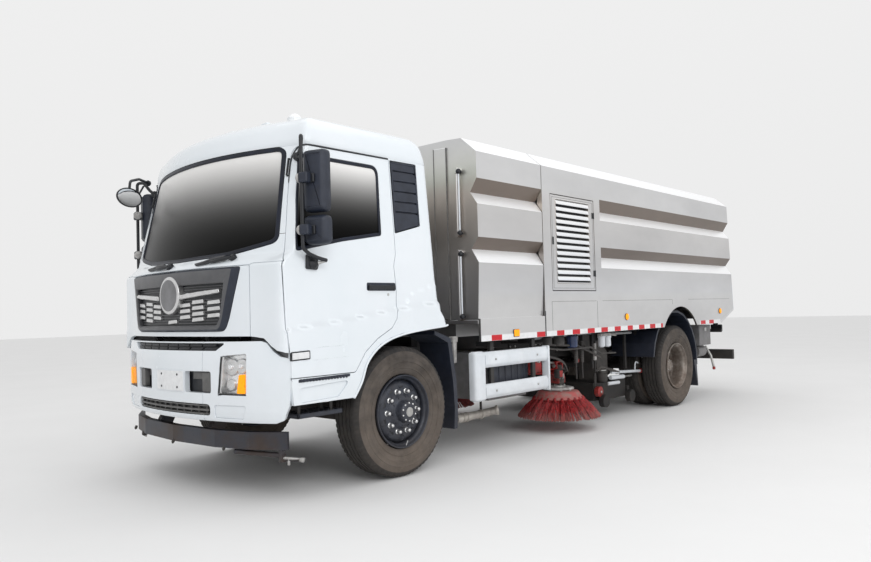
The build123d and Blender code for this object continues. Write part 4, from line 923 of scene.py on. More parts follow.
# the plain round disc in the middle and its rim
disc = [F(24 + 148 * cos(t), 1507 + 148 * sin(t)) for t in np.linspace(0, 2 * pi, 49)[:-1]]
bits.append(on_skin(cab_skin, disc, 36, 60, r=12, mat=1))
bits.append(on_skin(cab_skin, [tuple(p) for p in inset(disc, 24)], 39, 12, r=5, mat=3))
for s in (1, -1):
    bar_ = [(148, 1470), (400, 1490), (632, 1509), (622, 1538), (400, 1526), (158, 1508)] if s > 0 else [(-172, 1470), (-440, 1490), (-690, 1509), (-680, 1538), (-440, 1526), (-182, 1508)]
    bits.append(on_skin(cab_skin, rounded([F(*p) for p in bar_], 6, 2), 24, 40, r=9, mat=1))


def dash(x, z, w=140, h=30, k=0.22, s=1):
    q = [(x, z - h / 2), (x + w, z - h / 2 + 7), (x + w - 8, z + h / 2 + 5), (x + 8, z + h / 2 - 2)]
    q = [F(*p) for p in (q if s > 0 else [(-a - 16, b) for a, b in q])]
    return on_skin(cab_skin, rounded(q, 3, 2), 8, 26, r=3, mat=1)


for s in (1, -1):
    for x, zz in ((484, (1440, 1392, 1342)), (304, (1447, 1402, 1357, 1314)), (142, (1424, 1380, 1334))):
        for z in zz:
            bits.append(dash(x, z, s=s))
for x in (-34,):
    bits.append(dash(x, 1298, w=136))
for z in (1344, 1296):
    bits.append(dash(610, z - 6, w=28, h=26))
    bits.append(dash(610, z - 6, w=28, h=26, s=-1))
# fine ribs at the foot and across the field behind the dashes
for z in np.arange(1262, 1470, 22.0):
    hw = 596 + (z - 1252) * 0.30
    bits.append(on_skin(cab_skin, [F(-hw + 24, z), F(hw - 24, z), F(hw - 24, z + 7), F(-hw + 24, z + 7)], -6, 14, r=1.5, step=60, mat=0))
for z in np.arange(1540, 1585, 20.0):
    hw = 676
    bits.append(on_skin(cab_skin, [F(-hw, z), F(hw, z), F(hw, z + 6), F(-hw, z + 6)], -6, 14, r=1.5, step=60, mat=0))
grille_bits = joined(*bits)

# windscreen, its rubber, rear window
screen = panel(cab_skin, P0, TT["ws"], gap=-2, r=2, depth=8, lift=-7, rm=0, bm=0)
screen2 = joined(panel(cab_skin, P0, TT["rw"], gap=-2, r=2, depth=8, lift=-6, rm=0, bm=0), panel(cab_skin, P0, TT["rw2"], gap=-2, r=2, depth=8, lift=-6, rm=0, bm=0))
ws_rubber = panel(cab_skin, P0, TT["wr"], gap=-1, r=8, depth=30, lift=4, rm=0, bm=0)

make("cab_outer_skin", skin, ["white", "lining"], "cab", rep=["cab_shell"])
make("cab_roof", roof, ["white", "lining"], "cab", sharp=50)
make("cab_floor_and_wheel_housings", inner, ["white", "lining", "slate"], "cab")
make("grille_field_and_surround", grille, ["grille", "black", "grille"], "cab", rep=["cab_trim"])
make("grille_surround", surround, ["grille", "slate"], "cab", sharp=30)
make("grille_bars", grille_bits, ["grille", "satin_chrome", "grille", "grey_box"], "cab")
make("windscreen", screen, ["glass_f"], "cab", rep=["cab_glass"])
make("rear_cab_window", screen2, ["glass_f"], "cab")
make("windscreen_rubber", ws_rubber, ["rubber"], "cab")

# vent panels behind the doors: recessed dark field with five slanted slats
for s, nm, side in ((1, "vl", "left"), (-1, "vr", "right")):
    v = joined(panel(cab_skin, P0, TT[nm], gap=3, r=3, depth=12, lift=-14, sgn=1, rm=0, bm=0))
    sl = []
    edges = [2050, 2148, 2234, 2320, 2406, 2490, 2562]
    for i in range(6):
        z0, z1 = edges[i] + 4, edges[i + 1] - 4
        q = [D(-24, z0 if i else 1988), D(252, z0 + 4), D(252, z1), D(-24, z1)]
        if s < 0:
            q = mir(q)
        sl.append(on_skin(cab_skin, rounded(q, 8, 2), -1 if i % 2 else 0, 14, r=5, step=60))
    fr = [[D(-34, 1980), D(-14, 1985), D(-14, 2566), D(-34, 2566)], [D(244, 2055), D(262, 2059), D(264, 2570), D(246, 2570)], [D(-34, 1980), D(262, 2058), D(262, 2074), D(-34, 1998)],
          [D(-34, 2552), D(262, 2555), D(262, 2571), D(-34, 2568)]]
    for q in fr:
        sl.append(on_skin(cab_skin, q if s > 0 else mir(q), 2, 16, r=3, step=60))
    make("vent_panel_" + side, joined(v, *sl), ["slate"], "cab")

# doors
for s, nm, side in ((1, "l", "left"), (-1, "r", "right")):
    q = [panel(cab_skin, P0, TT["d" + nm], gap=2.5, r=4, depth=42, rm=0, bm=1)]
    make("door_panel_" + side, joined(*q), ["white", "lining"], "door_" + side, rep=["door_" + side])
    make("door_window_rubber_" + side, panel(cab_skin, P0, TT["dr" + nm], gap=-1, r=7, depth=30, lift=3, rm=0, bm=0), ["rubber"], "door_" + side)
    make("door_window_" + side, panel(cab_skin, P0, TT["dg" + nm], gap=-2, r=2, depth=7, lift=-7, rm=0, bm=0), ["glass_d"], "door_" + side, rep=["door_glass_" + side])
    g = (lambda p: p) if s > 0 else mir
    dd = []
    # handle, its recess and lock
    dd.append(on_skin(cab_skin, g(rounded([D(-378, 1502), D(-66, 1502), D(-66, 1566), D(-378, 1566)], 16, 4)), 1.5, 10, r=1.5, mat=0))
    dd.append(on_skin(cab_skin, g(rounded([D(-352, 1512), D(-92, 1512), D(-92, 1544), D(-352, 1544)], 14, 4)), 22, 14, r=6, mat=1))
    dd.append(on_skin(cab_skin, g(rounded([D(-366, 1508), D(-340, 1508), D(-340, 1548), D(-366, 1548)], 8, 3)), 20, 20, r=5, mat=1))
    dd.append(on_skin(cab_skin, g(rounded([D(-104, 1508), D(-80, 1508), D(-80, 1548), D(-104, 1548)], 8, 3)), 20, 20, r=5, mat=1))
    dd.append(on_skin(cab_skin, g([D(-150 + 11 * cos(t), 1472 + 11 * sin(t)) for t in np.linspace(0, 2 * pi, 17)[:-1]]), 3, 5, r=2, step=12, mat=2))
    # side lamp with its dark border
    lamp_q = rounded([D(-1128, 1006), D(-955, 1011), D(-957, 1076), D(-1126, 1071)], 10, 3)
    dd.append(on_skin(cab_skin, g(lamp_q), 5, 14, r=4, mat=1))
    dd.append(on_skin(cab_skin, g([tuple(p) for p in inset(lamp_q, 9)]), 9, 8, r=4, mat=3))
    # two pressed lines beside the lamp
    for z in (1090, 1003):
        dd.append(on_skin(cab_skin, g([D(-930, z - 2), D(-600, z - 2 + 8), D(-600, z + 2 + 8), D(-930, z + 2)]), 0.8, 3, r=0.6, mat=4))
    make("door_fittings_" + side, joined(*dd), ["slate", "black", "steel_plain", "reflector", "white"], "door_" + side)

    # door lining: armrest and a lining board on the inside
    tr = Mesh()
    tr.add(prism([(-900, 1500), (-250, 1500), (-250, 1560), (-900, 1560)], "x", 1080, 1146, 8) if s > 0 else flip(prism([(-900, 1500), (-250, 1500), (-250, 1560), (-900, 1560)], "x", 1080, 1146, 8)))
    b = prism(rounded([(-980, 1000), (-560, 1060), (-200, 1330), (-200, 1700), (-980, 1640)], 30, 4), "x", 1132, 1150, 4)
    tr.add(b if s > 0 else flip(b), 0)
    make("door_lining_" + side, tr, ["lining"], "door_" + side)

    # pad strip, step tread and rolled arch lip stay on the cab
    pp = [on_skin(cab_skin, g(rounded([D(-1063, 852), D(-590, 860), D(-588, 880), D(-1063, 874)], 5, 3)), 5, 12, r=3, mat=0)]
    for k in range(16):
        y = -1050 + k * 28
        pp.append(on_skin(cab_skin, g([D(y, 853), D(y + 12, 853), D(y + 12, 876), D(y, 876)]), 9, 8, r=2, mat=0))
    make("step_pad_" + side, joined(*pp), ["slate"], "cab")
    lip = Mesh()
    ap = [(-552, 700)] + ARCH + [(110, 1172), (300, 1190), (480, 1204), (528, 1212)]
    prof = [(-1, -1), (1, -1), (1.1, 0), (1, 1), (-1, 1), (-1.1, 0)]
    off = np.array(ap, float)
    pth = smooth_path([(s * (1217.0 if y > -500 else 1212.0), y, z - 6 if y > -530 else z) for y, z in off], 4)
    lip.add(tube([(p[0], p[1], p[2]) for p in pth], 9, 10))
    make("arch_lip_" + side, lip, ["white"], "cab", sharp=60)

    st = Mesh()
    pl = prism(rounded([(952, -1058), (1190, -1058), (1190, -642), (952, -642)], 22, 4), "z", 594, 600, 2)
    st.add(pl if s > 0 else flip(pl), 0)
    for lo, hi in (((952, -1058), (972, -642)), ((1172, -1058), (1192, -642)), ((952, -1058), (1192, -1040)), ((952, -660), (1192, -642))):
        b = cbox(lo[0], hi[0], lo[1], hi[1], 594, 626, 5)
        st.add(b if s > 0 else flip(b), 0)
    for k in range(8):
        b = prism(rounded([(980, -1032 + k * 47), (1164, -1032 + k * 47), (1164, -1012 + k * 47), (980, -1012 + k * 47)], 8, 3), "z", 598, 622, 3)
        st.add(b if s > 0 else flip(b), 0)
        for j in range(3):
            b = turned_on((1010 + j * 62, -1022 + k * 47, 619), (0, 0, 1), [(0, 8), (5, 7), (6, 4)], 10)
            st.add(b if s > 0 else flip(b), 0)
    for y in (-1010, -716):
        b = prism(rounded([(y - 20, 716), (y + 20, 716), (y + 14, 598), (y - 14, 598)], 5, 2), "x", 1010, 1022, 3)
        st.add(b if s > 0 else flip(b), 1)
        b = prism(rounded([(y - 16, 716), (y + 16, 716), (y + 12, 606), (y - 12, 606)], 5, 2), "x", 1128, 1140, 3)
        st.add(b if s > 0 else flip(b), 1)
    # grating of the upper foothold in its well
    b = prism([(800, -1060), (1165, -1060), (1165, -690), (800, -690)], "z", 738, 748, 3)
    st.add(b if s > 0 else flip(b), 0)
    for k in range(8):
        b = cbox(805, 1160, -1050 + k * 45, -1035 + k * 45, 746, 756, 3)
        st.add(b if s > 0 else flip(b), 0)
    make("step_treads_" + side, st, ["rim_dark", "frame"], "cab", rep=["cab_steps"] if s > 0 else ())

# horizontal pillar seams, wipers, roof fittings
tr = Mesh()
for s in (1, -1):
    g = (lambda q: q) if s > 0 else flip
for xp, zp, xe, ze in ((694, 1756, 345, 1732), (-48, 1730, -430, 1736)):
    base = cab_skin([F(xp, zp)])[0]
    q = cab_skin([F(xp + (xe - xp) * t, zp + (ze - zp) * t) for t in (0.16, 0.3, 0.52, 0.56, 0.8, 1.0)])
    tr.add(turned_on(base + (0, 6, 0), (0, -0.8, 0.6), [(-4, 24), (14, 30), (26, 28), (36, 16)], 18), 0)
    tr.add(turned_on(base + (-34, 4, -10), (0, -0.8, 0.6), [(-4, 18), (12, 18), (20, 10)], 14), 0)
    tr.add(tube([base + (0, -20, 12), q[0] + (0, -26, 8), q[1] + (0, -27, 6), q[2] + (0, -25, 2), q[3] + (0, -23, 0)], [13, 15, 16, 15, 10], 8), 0)
    tr.add(tube([q[3] + (0, -23, 0), q[4] + (0, -22, -4), q[5] + (0, -20, -6)], [9, 8, 7], 8), 0)
    tr.add(tube([q[0] + (-20, -12, 30), q[2] + (0, -12, 26), q[4] + (0, -12, 12), q[5] + (-30, -12, 4)], 8, 6, prof=[(-1, -0.6), (1, -0.6), (1.0, 0.6), (0, 1.6), (-1, 0.6)]), 1)
for s in (1, -1):
    # assist rod on the pillar and the dark seal round the upper front corner of the door opening
    q = cab_skin([(s * 944, 2480), (s * 938, 2352)])
    o = np.array((s * 5.0, -13.0, 3.0))
    tr.add(tube([q[0] + o * 0.2, q[0] + o, q[1] + o, q[1] + o * 0.2], 8, 8), 0)
    sp_ = [(950, 2300), (951, 2400), (954, 2452), (966, 2506), (990, 2546), (1030, 2570), (1100, 2579)] + [D(y, 2582) for y in (-800, -600, -400, -200, -60)]
    q = cab_skin([(s * a, b) for a, b in sp_])
    tr.add(tube(smooth_path([tuple(p + np.array((s * 0.5, -0.5, 0.5))) for p in q], 3), [4, 5] + [7] * (len(smooth_path([tuple(p) for p in q], 3)) - 2), 6), 0)
make("wipers", tr, ["black", "grille"], "cab")
seam = joined(*[on_skin(cab_skin, [(s * a, b) for a, b in ([(896, 1917), (954, 1917), (954, 1921), (896, 1921)] if s > 0 else [(954, 1917), (896, 1917), (896, 1921), (954, 1921)])], 0.6, 3, r=0.5) for s in (1, -1)])
make("pillar_seams", seam, ["line"], "cab")

rf = Mesh()
rf.add(turned_on((620, -600, 2862), (0, 0, 1), [(-8, 66), (0, 72), (10, 72), (14, 62)], 28), 0)
rf.add(turned_on((620, -600, 2874), (0, 0, 1), [(0, 58), (6, 60), (46, 57), (66, 48), (78, 34), (84, 18), (86, 4)], 28), 1)
for k in range(4):
    rf.add(lathe([(2884 + k * 11, 57), (2887 + k * 11, 61.5), (2890 + k * 11, 57)], "z", (620, -600), 28), 1)
for x, y, z in ((425, -742, 2868), (-425, -742, 2868), (0, -790, 2868), (700, 190, 2862)):
    v, f = prism(rounded([(-46, -24), (46, -24), (46, 24), (-46, 24)], 16, 4), "z", 0, 30, 9)
    rf.add(([(p[0] + x, p[1] + y, p[2] + z) for p in v], f), 2)
make("roof_beacon_and_markers", rf, ["slate", "clear", "white"], "cab")

# seats as crowned cushions, dash and steering wheel
def cushion(x0, x1, y0, y1, z0, z1, name, crown=26, lean=0.0, nx=14, ny=12):
    m = Mesh()
    v, f = [], []
    cx, cy, hx, hy = (x0 + x1) / 2, (y0 + y1) / 2, (x1 - x0) / 2, (y1 - y0) / 2
    for lay in (0, 1):
        for j in range(ny + 1):
            for i in range(nx + 1):
                a, b = -1 + 2 * i / nx, -1 + 2 * j / ny
                pull = 1 - 0.035 * (1 - a * a) * (abs(b) ** 6) - 0.0
                pull2 = 1 - 0.035 * (1 - b * b) * (abs(a) ** 6)
                e = (1 - abs(a) ** 5) * (1 - abs(b) ** 5)
                ch = 5.0 * max(0.0, 1 - abs(abs(a) - 0.62) / 0.055) + (4.0 * max(0.0, 1 - abs(b * 2.5 - round(b * 2.5)) / 0.16) if abs(a) < 0.56 and abs(b) < 0.9 else 0.0)
                z = (z1 - 34 + 34 * e ** 0.35 - ch * e + (-crown * 0.3 * (1 - a * a) if False else 0)) if lay else (z0 + 16 - 16 * e ** 0.4)
                v.append((cx + hx * a * pull2, cy + hy * b * pull, z))
    k = (nx + 1) * (ny + 1)
    for j in range(ny):
        for i in range(nx):
            p = j * (nx + 1) + i
            f.append((p + k, p + k + 1, p + k + nx + 2, p + k + nx + 1))
            f.append((p, p + nx + 1, p + nx + 2, p + 1))
    for i in range(nx):
        f.append((i, i + 1, k + i + 1, k + i))
        p = ny * (nx + 1) + i
        f.append((p + 1, p, k + p, k + p + 1))
    for j in range(ny):
        p = j * (nx + 1)
        f.append((p + nx + 1, p, k + p, k + p + nx + 1))
        p += nx
        f.append((p, p + nx + 1, k + p + nx + 1, k + p))
    m.add((v, f))
    return m


cush = []
for s, side in ((1, "left"), (-1, "right")):
    m = cushion(s * 640 - 238, s * 640 + 238, -515, -22, 1440, 1638, "")
    ob = make("seat_base_" + side, m, ["seat"], "cab", rep=["cab_interior"] if s > 0 else (), sharp=70)
    # the back: the same crowned cushion stood on end
    m = cushion(s * 640 - 235, s * 640 + 235, 1655, 2290, -100, 25, "")
    m.v = [(x, -z - 5, y) for x, y, z in m.v]
    ob = make("seat_back_" + side, m, ["seat"], "cab", sharp=70)
    pb = Mesh()
    pb.add(prism(rounded([(s * 640 - 215, -500), (s * 640 + 215, -500), (s * 640 + 215, -40), (s * 640 - 215, -40)], 30, 4), "z", 1262, 1436, 10))
    pb.add(cbox(s * 640 - 150, s * 640 + 150, -450, -80, 1236, 1264, 8))
    make("seat_plinth_" + side, pb, ["seat_dark"], "cab")
di = Mesh()
di.add(prism([(-1125, 1500), (-1100, 1700), (-1010, 1772), (-880, 1776), (-862, 1740), (-868, 1560), (-960, 1482)], "x", -915, 915, 14), 0)
di.add(prism(rounded([(440, 1772), (840, 1772), (820, 1822), (460, 1822)], 14, 4), "y", -1010, -900, 8), 0)
di.add(rod((640, -960, 1660), (640, -778, 1788), 32, 16, 4), 0)
th = np.linspace(0, 2 * pi, 49)
cw, e1, e2 = np.array((640, -762, 1806.0)), np.array((1.0, 0, 0)), np.array((0, 0.81, -0.58))
di.add(tube([cw + 208 * (e1 * cos(t) + e2 * sin(t)) for t in th], 15, 10, cap=False), 1)
for a in (0.3, pi - 0.3, -pi / 2):
    di.add(rod(cw + 30 * (e1 * cos(a) + e2 * sin(a)) - np.array((0, 6, 8)), cw + 200 * (e1 * cos(a) + e2 * sin(a)), 11, 8, 2), 1)
di.add(turned_on(cw - np.array((0, 14, 20)), (0, 0.58, 0.81), [(0, 46), (8, 52), (26, 48), (32, 30)], 24), 1)
for k in range(4):
    di.add(turned_on((520 + k * 80, -902, 1798), (0, 1, 0), [(0, 26), (5, 30), (9, 28), (6, 24)], 20), 1)
make("dash_and_steering_wheel", di, ["lining", "seat_dark"], "cab")


# ------------------------------------------------------------------ bumper
def bump_skin(Q):
    Q = np.atleast_2d(np.asarray(Q, float))
    x, z = Q[:, 0], Q[:, 1]
    a = np.abs(x)
    y = -1420 + 175 * (a / 1000) ** 2 + np.where(a > 850, 400 * ((np.maximum(a, 850) - 850) / 1000) ** 2, 0)
    y = y + np.interp(z, [560, 590, 640, 760, 1000, 1060, 1150], [22, 8, 0, 0, 0, 4, 14])
    return np.stack([x, y, z], 1)


bh = [(0, 565), (1090, 566), (1150, 590), (1188, 690), (1200, 826), (1200, 1026), (1135, 1044), (1088, 1082), (1040, 1140), (1000, 1153), (700, 1152), (0, 1148)]
b_out = rounded(bh[1:-1] + [(-a, b) for a, b in bh[1:-1][::-1]], 8, 2)
head = rounded([(636, 772), (884, 771), (890, 1061), (668, 1044)], 16, 4)
fog = rounded([(262, 775), (556, 775), (556, 930), (262, 928)], 18, 4)
vent_u = rounded([(-604, 1086), (604, 1086), (692, 1138), (-692, 1138)], 8, 3)
low_g = rounded([(-545, 610), (545, 610), (545, 690), (-545, 690)], 36, 6)
indent = rounded([(594, 597), (851, 597), (880, 688), (594, 686)], 12, 3)
sl = [("vu", vent_u), ("lg", low_g)]
for s, nm in ((1, "l"), (-1, "r")):
    g = (lambda p: p) if s > 0 else (lambda p: [(-a, b) for a, b in p][::-1])
    sl += [("hd" + nm, g(head)), ("fg" + nm, g(fog)), ("in" + nm, g(indent)), ("cr" + nm, g([(470, 560), (1300, 560), (1300, 1160), (470, 1160)]))]
P1, TB = cut_skin(b_out, sl, 30.0)
bs = [panel(bump_skin, P1, TB[""], gap=1.6, r=5, depth=46, rm=0, bm=1)]
for nm in ("l", "r"):
    bs.append(panel(bump_skin, P1, TB["cr" + nm], gap=1.6, r=5, depth=46, rm=0, bm=1))
    bs.append(panel(bump_skin, P1, TB["in" + nm], gap=-1.5, r=3, depth=24, lift=-9, rm=0, bm=1))
bumper_skin = joined(*bs)
make("bumper_skin", bumper_skin, ["white", "black"], "chassis", rep=["bumper"])

bk = Mesh()
# dark hollow behind every opening
for k in ("fgl", "fgr", "vu", "lg"):
    pass
back = joined(panel(bump_skin, P1, TB["vu"], gap=-8, r=2, depth=10, lift=-34), panel(bump_skin, P1, TB["lg"], gap=-8, r=2, depth=10, lift=-30),
              panel(bump_skin, P1, TB["fgl"], gap=-8, r=2, depth=10, lift=-60), panel(bump_skin, P1, TB["fgr"], gap=-8, r=2, depth=10, lift=-60))
rims = []
for s in (1, -1):
    g = (lambda p: p) if s > 0 else (lambda p: [(-a, b) for a, b in p][::-1])
    # grey outer half of the fog opening, a grey strip in the inner half
    rims.append(on_skin(bump_skin, g(rounded([(452, 780), (551, 780), (551, 925), (452, 925)], 12, 3)), -14, 40, r=5, mat=1))
    rims.append(on_skin(bump_skin, g([(300, 868), (444, 868), (444, 922), (300, 922)]), -50, 12, r=4, mat=1))
for k in range(8):
    x = -600 + k * 150
    rims.append(on_skin(bump_skin, [(x + 6, 1090), (x + 144, 1090), (x + 144 + (x + 75) * 0.06, 1108), (x + 6 + (x + 75) * 0.06, 1108)], -12, 18, r=3, mat=0))
    rims.append(on_skin(bump_skin, [(x + 6, 1116), (x + 144, 1116), (x + 144, 1132), (x + 6, 1132)], -12, 18, r=3, mat=0))
for z in (640,):
    rims.append(on_skin(bump_skin, rounded([(-528, z), (528, z), (528, z + 17), (-528, z + 17)], 6, 3), -5, 24, r=5, mat=1))
    for k in range(12):
        x = -500 + k * 91
        rims.append(on_skin(bump_skin, [(x - 4, 618), (x + 4, 618), (x + 4, 684), (x - 4, 684)], -12, 18, r=2, mat=1))
    for zz in (614, 676):
        rims.append(on_skin(bump_skin, rounded([(-524, zz), (524, zz), (524, zz + 10), (-524, zz + 10)], 4, 2), -4, 24, r=3, mat=1))
# plain number plate carrier with its four fixings
rims.append(on_skin(bump_skin, rounded([(-146, 770), (258, 770), (258, 938), (-146, 938)], 10, 3), 4, 14, r=3, mat=3))
rims.append(on_skin(bump_skin, rounded([(-136, 780), (248, 780), (248, 928), (-136, 928)], 6, 3), 7, 10, r=2, mat=4))
for x, z in ((-60, 902), (172, 902), (-60, 806), (172, 806)):
    rims.append(on_skin(bump_skin, [(x + 9 * cos(t), z + 9 * sin(t)) for t in np.linspace(0, 2 * pi, 15)[:-1]], 10, 6, r=2, step=10, mat=0))
make("bumper_openings_and_plate", joined(back, *rims), ["black", "vent_grey", "reflector", "white_trim", "tape_w"], "chassis")

for s, nm, side in ((1, "l", "left"), (-1, "r", "right")):
    g = (lambda p: p) if s > 0 else (lambda p: [(-a, b) for a, b in p][::-1])
    hb = joined(panel(bump_skin, P1, TB["hd" + nm], gap=-3, r=2, depth=10, lift=-62, rm=0, bm=1),
                on_skin(bump_skin, g([(640, 776), (660, 776), (688, 1040), (668, 1040)]), -6, 60, r=4, mat=1))
    for x, z, r in ((724, 965, 66), (820, 972, 58)):
        hb = joined(hb, on_skin(bump_skin, g([(x + r * cos(t), z + r * sin(t)) for t in np.linspace(0, 2 * pi, 33)[:-1]]), -40, 22, r=12, step=20, mat=1),
                    on_skin(bump_skin, g([(x + r * 0.78 * cos(t), z + r * 0.78 * sin(t)) for t in np.linspace(0, 2 * pi, 33)[:-1]]), -44, 10, r=8, step=20, mat=0),
                    on_skin(bump_skin, g([(x + r * 0.34 * cos(t), z + r * 0.34 * sin(t)) for t in np.linspace(0, 2 * pi, 21)[:-1]]), -22, 40, r=10, step=12, mat=0))
    x, z, r = 716, 832, 44
    hb = joined(hb, on_skin(bump_skin, g([(x + r * cos(t), z + r * sin(t)) for t in np.linspace(0, 2 * pi, 29)[:-1]]), -40, 22, r=10, step=18, mat=1))
    amb = on_skin(bump_skin, g(rounded([(806, 778), (878, 778), (882, 918), (828, 912)], 8, 3)), 1.5, 40, r=5, mat=2)
    make("headlight_" + side, joined(hb, amb), ["reflector", "satin_chrome", "amber"], "chassis", rep=["lamps"] if s > 0 else ())
    make("headlight_lens_" + side, panel(bump_skin, P1, TB["hd" + nm], gap=1, r=4, depth=5, lift=-1, rm=0, bm=0), ["lens"], "chassis")
    make("headlight_border_" + side, joined(on_skin(bump_skin, g([(628, 764), (890, 763), (889, 773), (638, 774)]), 1, 40, r=3), on_skin(bump_skin, g([(628, 764), (640, 776), (672, 1042), (660, 1048)]), 1, 40, r=3)),
         ["black"], "chassis")

# tail lamps, on plates that sit on the frame's end
tl = Mesh()
for s in (1, -1):
    g = (lambda q: q) if s > 0 else flip
    tl.add(g(prism(rounded([(910, 900), (1085, 900), (1085, 1005), (910, 1005)], 14, 4), "y", 6955, 6985, 6)), 0)
    tl.add(g(prism(rounded([(920, 908), (976, 908), (976, 997), (920, 997)], 10, 3), "y", 6978, 7004, 6)), 1)
    tl.add(g(prism(rounded([(982, 908), (1028, 908), (1028, 997), (982, 997)], 10, 3), "y", 6978, 7004, 6)), 2)
    tl.add(g(prism(rounded([(1034, 908), (1076, 908), (1076, 997), (1034, 997)], 10, 3), "y", 6978, 7004, 6)), 1)
    tl.add(g(cbox(960, 1030, 6930, 6958, 985, 1040, 5)), 0)
make("tail_lamps", tl, ["black", "lens_red", "amber"], "chassis")

# ------------------------------------------------------------------ mirrors
MP = [(1250, -975, 1762), (1254, -905, 1737), (1260, -826, 1719), (1228, -880, 1700)]
for s, side, turn in ((1, "left", 18.6), (-1, "right", 18.6)):
    g = (lambda q: q) if s > 0 else flip
    m = Mesh()
    wv = np.array((cos(math.radians(turn)), sin(math.radians(turn)), 0.0))
    nv = np.array((wv[1], -wv[0], 0.0))
    up_ = np.array((0.0, 0.0, 1.0))
    ctr = np.array((1281.0, -921.0, 0.0))
    mast = np.array((1250.0, -1027.0, 0.0))
    m.add(g(tube(bent([(1092, -940, 2490), (1150, -955, 2532), (1205, -985, 2606), mast + (0, 0, 2606), mast + (0, 0, 1800), MP[0], MP[1], MP[2]], 36, 6), 14, 12)), 0)
    m.add(g(tube(bent([MP[2], MP[3], (1204, -912, 1694)], 20, 4), 12, 10)), 3)
    m.add(g(turned_on((1084, -934, 2488), (1, -0.6, 0.1), [(-6, 30), (6, 34), (24, 30), (34, 18)], 18)), 0)
    m.add(g(prism(rounded([(-968, 1658), (-868, 1652), (-852, 1700), (-872, 1762), (-962, 1766)], 16, 4), "x", 1186, 1214, 7)), 0)
    m.add(g(turned_on((1200, -908, 1694), (1, 0.1, 0.1), [(0, 38), (14, 40), (28, 30), (40, 20)], 18)), 0)

    def at(a, b, z):
        return ctr + wv * a + nv * b + up_ * z

    for z0, z1, hw, r in ((2062, 2512, 95, 40), (1830, 2040, 101, 48)):
        o = rounded([(-hw, z0), (hw, z0), (hw, z1), (-hw, z1)], r, 6)
        rr = []
        for b, d in ((47, 39.3), (46.8, 36), (42, 26), (30, 10), (6, 1.5), (-20, 0), (-40, 0), (-47, 4)):
            rr.append([at(a, b, z) for a, z in inset(o, d + 0.01)])
        rr.append([at(a, -47, z) for a, z in inset(o, 10)])
        rr.append([at(a, -38, z) for a, z in inset(o, 14)])
        m.add(g(loft(rr, True)), 1)
        rr = [[at(a, b, z) for a, z in inset(o, 13)] for b in (-30, -42)]
        m.add(g(loft(rr, True)), 2)
    for z in (2300, 1930):
        def blk(a0, a1, b0, b1, h, c=8):
            vv, ff = cbox(a0, a1, b0, b1, z - h, z + h, c)
            return [tuple(mast + wv * p[0] + nv * p[1] + up_ * p[2]) for p in vv], ff
        m.add(g(blk(-14, 62, -30, 30, 36)), 1)
        m.add(g(turned_on(tuple(mast + wv * -10 + up_ * z), tuple(-wv), [(0, 36), (10, 36), (22, 31), (30, 20), (33, 6)], 18)), 4)
        m.add(g(blk(0, 84, -52, -22, 32, 6)), 0)
    make("mirror_housings_" + side, m, ["black", "slate", "mirror_glass", "steel_plain", "ring_grey"], "door_" + side, rep=["mirror_" + side])
# the round-cornered wide view mirror on its own arms at the right front corner
m = Mesh()
nrm, lng = np.array((0.9397, 0.342, 0.0)), np.array((-0.342, 0.9397, 0.0))
cen = np.array((-908.0, -1270.0, 2405.0))
ov = [(147 * cos(t), 87 * sin(t)) for t in np.linspace(0, 2 * pi, 45)[:-1]]


def oval_rings(spec):
    return [[cen + nrm * h + lng * a + np.array((0, 0, b)) for a, b in inset(ov, d + 0.01)] for h, d in spec]


m.add(loft(oval_rings(((-18, 34), (-12, 18), (2, 2), (12, 0), (17, 2), (18, 7), (12, 9))), True), 0)
m.add(loft(oval_rings(((11, 8), (14, 18), (17.5, 34))), True), 1)
m.add(tube(bent([(-906, -1268, 2440), (-940, -1240, 2560), (-1040, -1110, 2606), (-1120, -985, 2596)], 60, 6), 12, 10), 0)
m.add(tube(bent([(-912, -1262, 2380), (-960, -1200, 2380), (-1090, -1075, 2500), (-1118, -1030, 2560)], 50, 6), 9, 10), 0)
m.add(rod(cen + (-20, -8, -50), cen + (-20, -8, 50), 15, 10, 3), 0)
m.add(turned_on((-1112, -990, 2592), (-0.4, 0.9, -0.3), [(-10, 26), (8, 28), (18, 22)], 14), 0)
make("wide_view_mirror", m, ["black", "mirror_glass"], "cab")


# ------------------------------------------------------------------ wheels
def tyre_mesh(x0, yc, s, n=216):
    out = [(100, 298), (112, 303), (120, 318), (126, 336), (128, 346), (132, 349), (132, 356), (129, 360), (135, 384), (139, 398), (144, 402), (144.5, 408), (142.5, 413), (142.5, 432), (144, 436), (144, 441), (141, 445),
           (139, 458), (135, 474), (131, 486), (127, 497), (121, 507), (112, 517), (104, 523), (98, 525)]
    tread = [(70, 525), (67, 511), (60, 511), (57, 525), (28, 525), (25, 511), (18, 511), (15, 525)]
    prof = out + tread + [(-a, r) for a, r in tread[::-1]] + [(-a, r) for a, r in out[::-1]]
    m = len(prof)
    v, f, mi = [], [], []
    for i in range(n):
        t = 2 * pi * i / n
        k = i % 3
        lug = 0.0 if k == 0 else 1.0
        for a, r in prof:
            b, q = a, r
            if abs(a) > 97 and r > 480:
                dd = (1 - lug) * 4.0 * min(1.0, (r - 478) / 30.0)
                q = r - dd
                b = a - (1 - lug) * (4.5 if a > 0 else -4.5) * min(1.0, (r - 478) / 24.0)
            if 12 < abs(a) < 72:
                b = a + 3.5 * cos(2 * pi * i / 6)
            v.append((x0 + s * b, yc + q * sin(t), 525 + q * cos(t)))
    for i in range(n):
        j = (i + 1) % n
        for q in range(m):
            w = (q + 1) % m
            f.append((i * m + q, j * m + q, j * m + w, i * m + w))
            mi.append(1 if len(out) - 6 <= q < m - len(out) + 5 else 0)
    return v, f, mi


